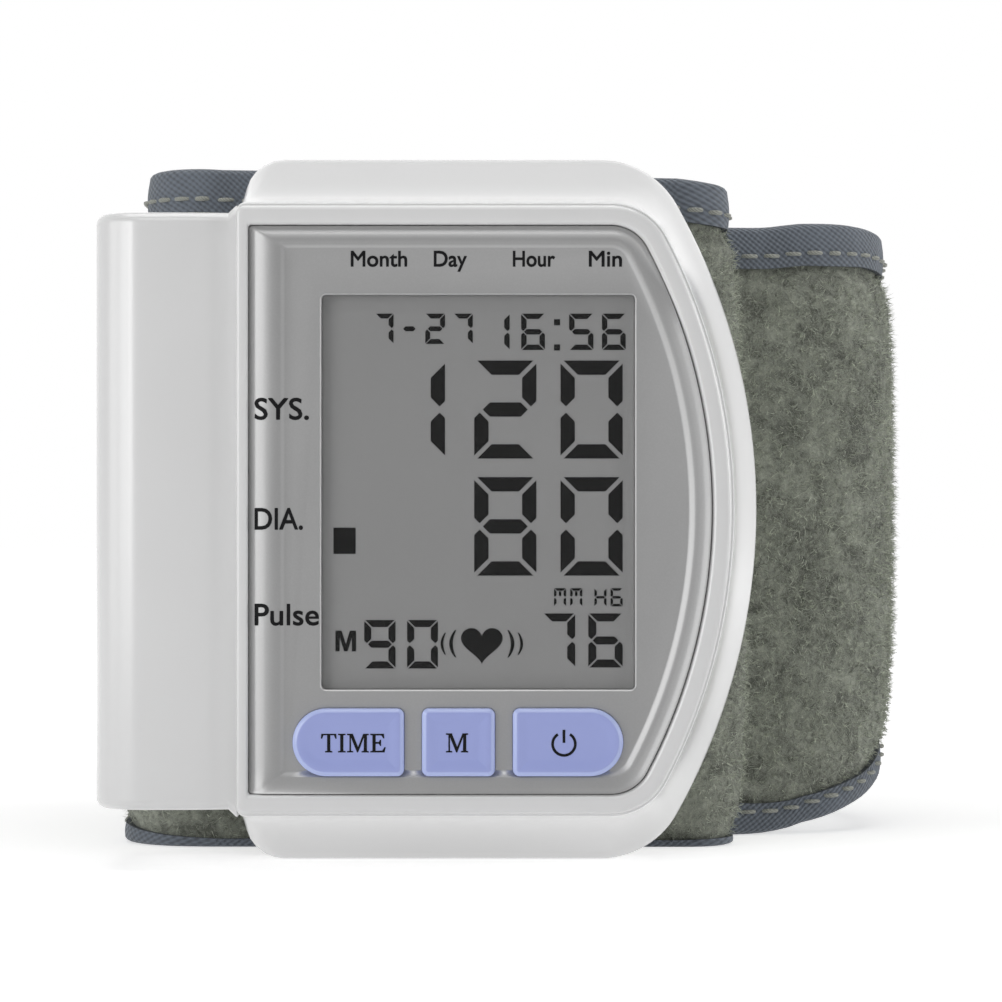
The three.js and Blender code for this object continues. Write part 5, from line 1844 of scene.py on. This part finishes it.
def make_nap(settings):
    """Loose fibres that stand up from the fleece, close together where the cuff is looked at."""
    tree = fibre_tree()
    unit = fibre_mesh()
    material = fibre_cloth(settings.fleece_colour)
    stations = dict(zip(PARTS, cuff_parts(step=3.0)))
    for name, part, low, high, share in NAP:
        near = [s for s in stations[part] if low <= s[2] <= high]
        made = apply_tree(cloth_sheet(f"nap_{name}", near, 24), tree, {
            "Unit": unit, "Finish": material, "Density": settings.fibre_density * 1e6 * share,
            "Length": settings.fibre_length,
        })
        hold(made, part)
    bpy.data.objects.remove(unit)


# Screws, one tree for all

SCREW_STEPS = 28
SCREW_PROFILE = (
    (0.0, -0.42), (0.45, -0.41), (0.78, -0.33), (0.96, -0.16), (1.0, 0.0), (1.0, 0.12),
    (0.55, 0.12), (0.55, 1.6), (0.3, 1.9), (0.0, 1.95),
)
ARM, REACH = 0.14, 0.52
CROSS = (
    (ARM, ARM), (ARM, REACH), (-ARM, REACH), (-ARM, ARM), (-REACH, ARM), (-REACH, -ARM),
    (-ARM, -ARM), (-ARM, -REACH), (ARM, -REACH), (ARM, -ARM), (REACH, -ARM), (REACH, ARM),
)


def screw_mesh():
    """A pan head screw of unit radius with a crossed recess, head along -Y, tip along +Y."""
    bm = bmesh.new()
    rings = []
    turns = [4 * QUARTER * i / SCREW_STEPS for i in range(SCREW_STEPS)]
    for radius, y in SCREW_PROFILE:
        angles = turns if radius else turns[:1]
        rings.append([
            bm.verts.new((radius * math.cos(a), y, radius * math.sin(a))) for a in angles
        ])
    for first, second in zip(rings, rings[1:]):
        for i, j in around(SCREW_STEPS):
            four = ((first, i), (first, j), (second, j), (second, i))
            corners = [ring[k % len(ring)] for ring, k in four]
            bm.faces.new(list(dict.fromkeys(corners)))
    head = from_bmesh("screw_unit", bm, 40)
    rings = [
        [(x * grow, y, z * grow) for x, z in CROSS] for y, grow in ((-0.6, 1.1), (-0.12, 0.62))
    ]
    combine(head, [from_bmesh("cross", rings_to_bmesh(rings))])
    return head


def screw_tree():
    """Stands a screw on each point, turned by a random amount about its own axis."""
    return copier_tree(
        "screw_set",
        {"Head Radius": ("Float", 0.002), "Seed": ("Int", 3)},
        {
            "points": ("GeometryNodeMeshToPoints", {}, {}),
            "spin": (RANDOM, {"data_type": "FLOAT"}, {3: QUARTER}),
            "turn": ("ShaderNodeCombineXYZ", {}, {}),
            "facing": (NAMED_ATTRIBUTE, {"data_type": "FLOAT"}, {"Name": "facing"}),
        },
        {
            "points.Mesh": "start.Geometry", "instance.Points": "points.Points",
            "spin.Seed": "start.Seed", "turn.Y": "spin.1", "turn.Z": "facing.Attribute",
            "instance.Rotation": "turn.Vector", "instance.Scale": "start.Head Radius",
        },
    )


def make_screws(settings):
    """The four housing screws, which face back, and the two plate screws, which face forward."""
    unit = screw_mesh()
    places, facings, nodes = [], [], []
    for prefix, count, faces_back in (("housing_screw", 4, True), ("plate_screw", 2, False)):
        for number in range(1, count + 1):
            node = f"{prefix}_{number}"
            low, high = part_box(node)
            seat = high.y - 0.0006 if faces_back else low.y + 0.0006
            places.append(((low.x + high.x) / 2, seat, (low.z + high.z) / 2))
            facings.append(2 * QUARTER if faces_back else 0.0)
            nodes.append(node)
    mesh = bpy.data.meshes.new("screws")
    mesh.from_pydata(places, [], [])
    for item, value in zip(mesh.attributes.new("facing", "FLOAT", "POINT").data, facings):
        item.value = value
    made = apply_tree(new_object("screws", mesh), screw_tree(), {
        "Unit": unit, "Finish": brushed_steel(), "Head Radius": settings.screw_head / 2,
    })
    bpy.data.objects.remove(unit)
    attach(made, "root")
    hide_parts(*nodes)


# Inner parts keep their CAD shape and get their finish here

INNER_FINISHES = {
    black_plastic: (
        "lcd_frame", "tact_switch_time", "tact_switch_memory", "tact_switch_power",
        "controller_chip", "buzzer", "valve_body",
    ),
    circuit_board: ("main_board",),
    rubber_sheet: ("lcd_contact_strip",),
    inner_plastic: (
        "pressure_sensor", "pump_head", "pump_crank", "air_block", "cuff_nozzle",
        "cuff_anchor_plate", "battery_tray",
    ),
    brushed_steel: (
        "pump_motor", "valve_plunger", "contact_front", "contact_rear",
        "contact_spring_front", "contact_spring_rear", "contact_bridge",
    ),
    tube_plastic: ("pump_tube", "valve_tube", "sensor_tube"),
    battery_jacket: ("battery_front", "battery_rear"),
}


def finish_inner_parts():
    """Gives each CAD node that stays its own finish."""
    for build, names in INNER_FINISHES.items():
        for name in names:
            for material_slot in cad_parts[name].material_slots:
                material_slot.material = build()


# Stage

# Lamps: place and aim in the unit's frame, width and height
LAMPS = {
    "left_front": ((-260, -450, 60), (0, 0, 0), 90, 350),
    "left": ((-374, -361, 60), (0, 0, 0), 190, 350),
    "left_side": ((-500, -150, 60), (0, 0, 0), 250, 350),
    "right": ((430, -300, 120), (0, 0, 0), 90, 350),
    "above": ((0, -361, 400), (0, 0, 0), 280, 80),
    "flank": ((560, 60, 130), (0, 30, 0), 200, 300),
    "overhead": ((0, 60, 560), (0, 60, 0), 520, 420),
    "behind": ((60, 560, 260), (0, 60, 0), 520, 300),
}
# The camera looks straight at the unit from this height above its middle
CAMERA_HEIGHT = 0.84


def area_lamp(name, place, aim, width, height, power):
    """A soft rectangular lamp, in the unit's frame."""
    data = bpy.data.lights.new(name, "AREA")
    data.shape = "RECTANGLE"
    data.size, data.size_y, data.energy = width * MM, height * MM, power
    lamp = bpy.data.objects.new(name, data)
    lamp.location = at(*place)
    lamp.rotation_mode = "QUATERNION"
    lamp.rotation_quaternion = (at(*aim) - at(*place)).to_track_quat("-Z", "Y")
    bpy.context.scene.collection.objects.link(lamp)


def seen_directly(tree):
    """1 for what the camera sees, also in gloss and through clear parts, and 0 for light."""
    path = tree.nodes.new("ShaderNodeLightPath")
    total = path.outputs["Is Camera Ray"]
    for label in ("Is Glossy Ray", "Is Transmission Ray"):
        wires = {0: total, 1: path.outputs[label]}
        total = add_node(tree, "ShaderNodeMath", "Value", wires, operation="MAXIMUM")
    return total


def make_stage(settings):
    """Pale floor, white surroundings, soft lamps and the camera."""
    scene = bpy.context.scene
    scene.view_settings.view_transform = "Standard"
    world = bpy.data.worlds.new("surroundings")
    scene.world = world
    world.use_nodes = True
    tree = world.node_tree
    tree.nodes.clear()
    shown, light = (
        add_node(tree, "ShaderNodeBackground", "Background", values=values)
        for values in (
            {"Color": (1, 1, 1, 1)},
            {"Color": (*settings.ambient_colour, 1), "Strength": settings.ambient},
        )
    )
    wires = {"Fac": seen_directly(tree), 1: light, 2: shown}
    surface = add_node(tree, "ShaderNodeMixShader", "Shader", wires)
    output = tree.nodes.new("ShaderNodeOutputWorld")
    tree.links.new(surface, output.inputs["Surface"])

    bm = bmesh.new()
    bmesh.ops.create_grid(bm, x_segments=2, y_segments=2, size=3.0)
    floor = plain_object("floor", bm)
    floor.data.materials.append(floor_paint(settings.floor_colour, (settings.bounce,)))
    for name, (place, aim, width, height) in LAMPS.items():
        area_lamp(name, place, aim, width, height, getattr(settings, name))

    data = bpy.data.cameras.new("camera")
    data.sensor_width = 36
    data.lens = settings.focal_length
    camera = bpy.data.objects.new("camera", data)
    camera.location = at(0, -settings.distance / MM, CAMERA_HEIGHT)
    camera.rotation_euler = (QUARTER, 0, 0)
    data.clip_start, data.clip_end = 0.01, 20
    scene.collection.objects.link(camera)
    scene.camera = camera


@kept
def floor_paint(colour, bounce):
    """Matt white floor: it shows the monitor's soft shadow, and runs out to pure white."""
    finish = Finish("pale floor", colour, 0.9)
    place = finish.place()
    cloud = finish.noise(place, 3, 2)
    finish.tint(cloud, shade(colour, 0.99), shade(colour, 1.01)).set(Specular_IOR_Level=0.0)
    away = finish.add("ShaderNodeVectorMath", "Value", {0: place}, operation="LENGTH")
    shown = finish.spread(away, 0.6, 1.0, 0.08, 0.36)
    extra = finish.sum(finish.sum(shown, -bounce[0]), seen_directly(finish.tree), "MULTIPLY")
    strength = {"Strength": finish.sum(extra, bounce[0])}
    glow = finish.add("ShaderNodeEmission", "Emission", strength)
    both = {0: finish.shader.outputs["BSDF"], 1: glow}
    finish.end_with(finish.add("ShaderNodeAddShader", "Shader", both))
    return finish.material


# Settings that a user may change

def length_of(name, description, millimetres):
    """A length property, shown in the scene's units."""
    return bpy.props.FloatProperty(
        name=name, description=description, default=millimetres * MM, min=0.0, unit="LENGTH",
        precision=5,
    )


def colour_of(name, description, *levels):
    """A colour property, given in display levels."""
    return bpy.props.FloatVectorProperty(
        name=name, description=description, default=linear(*levels), subtype="COLOR", min=0.0,
        max=1.0,
    )


def power_of(name, description, amount):
    """The strength of a lamp or of the light from all round."""
    return bpy.props.FloatProperty(
        name=name, description=description, default=amount, min=0.0, precision=3
    )


class HousingSettings(bpy.types.PropertyGroup):
    """Sizes and colour of the white housing."""
    colour: colour_of("Colour", "Colour of the white plastic", 231, 231, 231)
    rim_round: length_of("Rim rounding", "Rounding of the rim round the panel", 0.5)
    edge_round: length_of("Parting edge", "Rounding where the two shells meet", 0.25)
    flange_round: length_of("Flange rounding", "Rounding of the flange's back edge", 0.9)
    cover_round: length_of("Cover rounding", "Rounding of the battery cover's long sides", 4.6)
    cover_end_round: length_of("Cover end rounding", "Rounding of the cover's two ends", 1.1)
    screw_head: length_of("Screw head", "Diameter of a screw head", 4.0)


class PanelSettings(bpy.types.PropertyGroup):
    """Sizes and colour of the silver panel."""
    colour: colour_of("Colour", "Colour of the silver paint", 143, 143, 143)
    border_width: length_of("Border width", "Width of the raised border", 2.3)
    border_rise: length_of("Border rise", "Height of the raised border from its outer edge", 0.72)
    opening_bevel: length_of("Opening bevel", "Bevel round the display and button openings", 0.12)


class DisplaySettings(bpy.types.PropertyGroup):
    """Colours of the display and of the printed words."""
    glass_colour: colour_of("Glass colour", "Colour of the liquid crystal glass", 156, 156, 156)
    segment_colour: colour_of("Segment colour", "Colour of the dark segments", 26, 26, 26)
    ink_colour: colour_of("Ink colour", "Colour of the printed words", 12, 12, 14)
    letter_weight: length_of("Letter weight", "How much the printed letters are thickened", 0.05)


class ButtonSettings(bpy.types.PropertyGroup):
    """Sizes and colour of the push buttons."""
    colour: colour_of("Colour", "Colour of the button plastic", 165, 177, 240)
    rise: length_of("Rise", "How far a button stands out of the panel", 1.0)
    edge_round: length_of("Edge rounding", "Rounding of a button's front edge", 0.5)
    dish: length_of("Dish", "Depth of the shallow dish in a button's face", 0.12)


class CuffSettings(bpy.types.PropertyGroup):
    """Sizes and colours of the cuff."""
    fleece_colour: colour_of("Fleece colour", "Colour of the fleece", 158, 162, 150)
    lining_colour: colour_of("Lining colour", "Colour of the lining", 77, 82, 91)
    tape_colour: colour_of("Tape colour", "Colour of the binding tape", 101, 108, 117)
    thread_colour: colour_of("Thread colour", "Colour of the sewing thread", 166, 168, 160)
    unevenness: length_of("Unevenness", "Height of the fleece's small humps", 0.35)
    stitch_spacing: length_of("Stitch spacing", "Distance from one stitch to the next", 2.6)
    stitch_length: length_of("Stitch length", "Length of one stitch", 2.1)
    hook_height: length_of("Hook height", "Thickness of the hook strip", 0.6)
    fibre_length: length_of("Fibre length", "Length of a loose fibre", 0.95)
    fibre_density: bpy.props.FloatProperty(
        name="Fibre density", description="Loose fibres on a square millimetre", default=6.0,
        min=0.0,
    )


class StageSettings(bpy.types.PropertyGroup):
    """Lamps, floor and camera."""
    floor_colour: colour_of("Floor colour", "Colour of the floor", 232, 232, 232)
    ambient_colour: colour_of("Ambient colour", "Colour of the light from all round", 255, 255, 255)
    ambient: power_of("Ambient", "Light from all round", 0.08)
    bounce: power_of("Bounce", "Light that comes up from the floor", 0.2)
    left_front: power_of("Left front", "Strip lamp in front, at the left", 0.38)
    left: power_of("Left", "Wide lamp at the left", 0.46)
    left_side: power_of("Left side", "Lamp beside the monitor, at the left", 0.36)
    right: power_of("Right", "Strip lamp at the right", 0.2)
    above: power_of("Above", "Strip lamp above the camera", 0.2)
    flank: power_of("Flank", "Lamp far out at the right", 0.75)
    overhead: power_of("Overhead", "Soft lamp over the monitor", 1.3)
    behind: power_of("Behind", "Soft lamp behind the monitor", 0.12)
    distance: length_of("Camera distance", "From the camera to the face of the unit", 450)
    focal_length: bpy.props.FloatProperty(
        name="Focal length", description="Focal length on a 36 mm wide sensor", default=163.8,
        unit="CAMERA",
    )


# Operators, one for each piece or group of like pieces

class Step:
    """What all the operators share: one function, given the groups of settings that it reads."""

    def execute(self, context):
        self.build(*(getattr(context.scene, f"monitor_{group}") for group in self.groups))
        return {"FINISHED"}


class FrontHousing(Step, bpy.types.Operator):
    """Make the front shell of the housing."""
    bl_idname = "monitor.front_housing"
    bl_label = "Front housing"
    build = staticmethod(make_front_housing)
    groups = ("housing",)


class RearHousing(Step, bpy.types.Operator):
    """Make the rear shell of the housing."""
    bl_idname = "monitor.rear_housing"
    bl_label = "Rear housing"
    build = staticmethod(make_rear_housing)
    groups = ("housing",)


class BatteryCover(Step, bpy.types.Operator):
    """Make the sliding battery cover."""
    bl_idname = "monitor.battery_cover"
    bl_label = "Battery cover"
    build = staticmethod(make_battery_cover)
    groups = ("housing",)


class Screws(Step, bpy.types.Operator):
    """Make the screws of the housing and the anchor plate."""
    bl_idname = "monitor.screws"
    bl_label = "Screws"
    build = staticmethod(make_screws)
    groups = ("housing",)


class FacePanel(Step, bpy.types.Operator):
    """Make the silver face panel."""
    bl_idname = "monitor.face_panel"
    bl_label = "Face panel"
    build = staticmethod(make_face_panel)
    groups = ("panel",)


class Display(Step, bpy.types.Operator):
    """Make the lens, the glass and the segments of the display."""
    bl_idname = "monitor.display"
    bl_label = "Display"
    build = staticmethod(make_display)
    groups = ("display",)


class Words(Step, bpy.types.Operator):
    """Print the words on the face panel."""
    bl_idname = "monitor.words"
    bl_label = "Printed words"
    build = staticmethod(make_words)
    groups = ("display", "panel")


class Buttons(Step, bpy.types.Operator):
    """Make the three push buttons and what is printed on them."""
    bl_idname = "monitor.buttons"
    bl_label = "Push buttons"
    build = staticmethod(make_buttons)
    groups = ("buttons", "display")


class CuffLayers(Step, bpy.types.Operator):
    """Make the fleece, former, bladder and lining of the cuff."""
    bl_idname = "monitor.cuff_layers"
    bl_label = "Cuff layers"
    build = staticmethod(make_cuff_layers)
    groups = ("cuff",)


class Bindings(Step, bpy.types.Operator):
    """Make the tape on the edges of the cuff."""
    bl_idname = "monitor.bindings"
    bl_label = "Binding tape"
    build = staticmethod(make_bindings)
    groups = ("cuff",)


class Stitches(Step, bpy.types.Operator):
    """Sew the tape down with rows of stitches."""
    bl_idname = "monitor.stitches"
    bl_label = "Stitches"
    build = staticmethod(make_stitches)
    groups = ("cuff",)


class Nap(Step, bpy.types.Operator):
    """Scatter loose fibres over the fleece."""
    bl_idname = "monitor.nap"
    bl_label = "Fleece fibres"
    build = staticmethod(make_nap)
    groups = ("cuff",)


class HookPatch(Step, bpy.types.Operator):
    """Make the hook strip at the strap's tip."""
    bl_idname = "monitor.hook_patch"
    bl_label = "Hook strip"
    build = staticmethod(make_hook_patch)
    groups = ("cuff",)


class InnerParts(Step, bpy.types.Operator):
    """Give the inner parts their finishes."""
    bl_idname = "monitor.inner_parts"
    bl_label = "Inner parts"
    build = staticmethod(finish_inner_parts)
    groups = ()


class Stage(Step, bpy.types.Operator):
    """Set up the floor, the lamps and the camera."""
    bl_idname = "monitor.stage"
    bl_label = "Stage"
    build = staticmethod(make_stage)
    groups = ("stage",)


OPERATORS = (
    Stage, FrontHousing, RearHousing, BatteryCover, Screws, FacePanel, Display, Words, Buttons,
    CuffLayers, Bindings, Stitches, Nap, HookPatch, InnerParts,
)


class MonitorPanel(bpy.types.Panel):
    """Lists the steps that finish the monitor, and their settings."""
    bl_idname = "VIEW3D_PT_monitor"
    bl_label = "Wrist monitor"
    bl_space_type = "VIEW_3D"
    bl_region_type = "UI"
    bl_category = "Monitor"

    def draw(self, context):
        for operator in OPERATORS:
            self.layout.operator(operator.bl_idname)
        for name, group in SETTINGS.items():
            box = self.layout.box()
            box.label(text=group.__doc__)
            for key in group.__annotations__:
                box.prop(getattr(context.scene, name), key)


SETTINGS = {
    "monitor_housing": HousingSettings, "monitor_panel": PanelSettings,
    "monitor_display": DisplaySettings, "monitor_buttons": ButtonSettings,
    "monitor_cuff": CuffSettings, "monitor_stage": StageSettings,
}


def register():
    for cls in (*SETTINGS.values(), *OPERATORS, MonitorPanel):
        bpy.utils.register_class(cls)
    for name, group in SETTINGS.items():
        setattr(bpy.types.Scene, name, bpy.props.PointerProperty(type=group))


def unregister():
    for name in SETTINGS:
        delattr(bpy.types.Scene, name)
    for cls in (MonitorPanel, *reversed(OPERATORS), *reversed(list(SETTINGS.values()))):
        bpy.utils.unregister_class(cls)


def main():
    register()
    for operator in OPERATORS:
        group, name = operator.bl_idname.split(".")
        getattr(getattr(bpy.ops, group), name)()


if __name__ == "__main__":
    main()
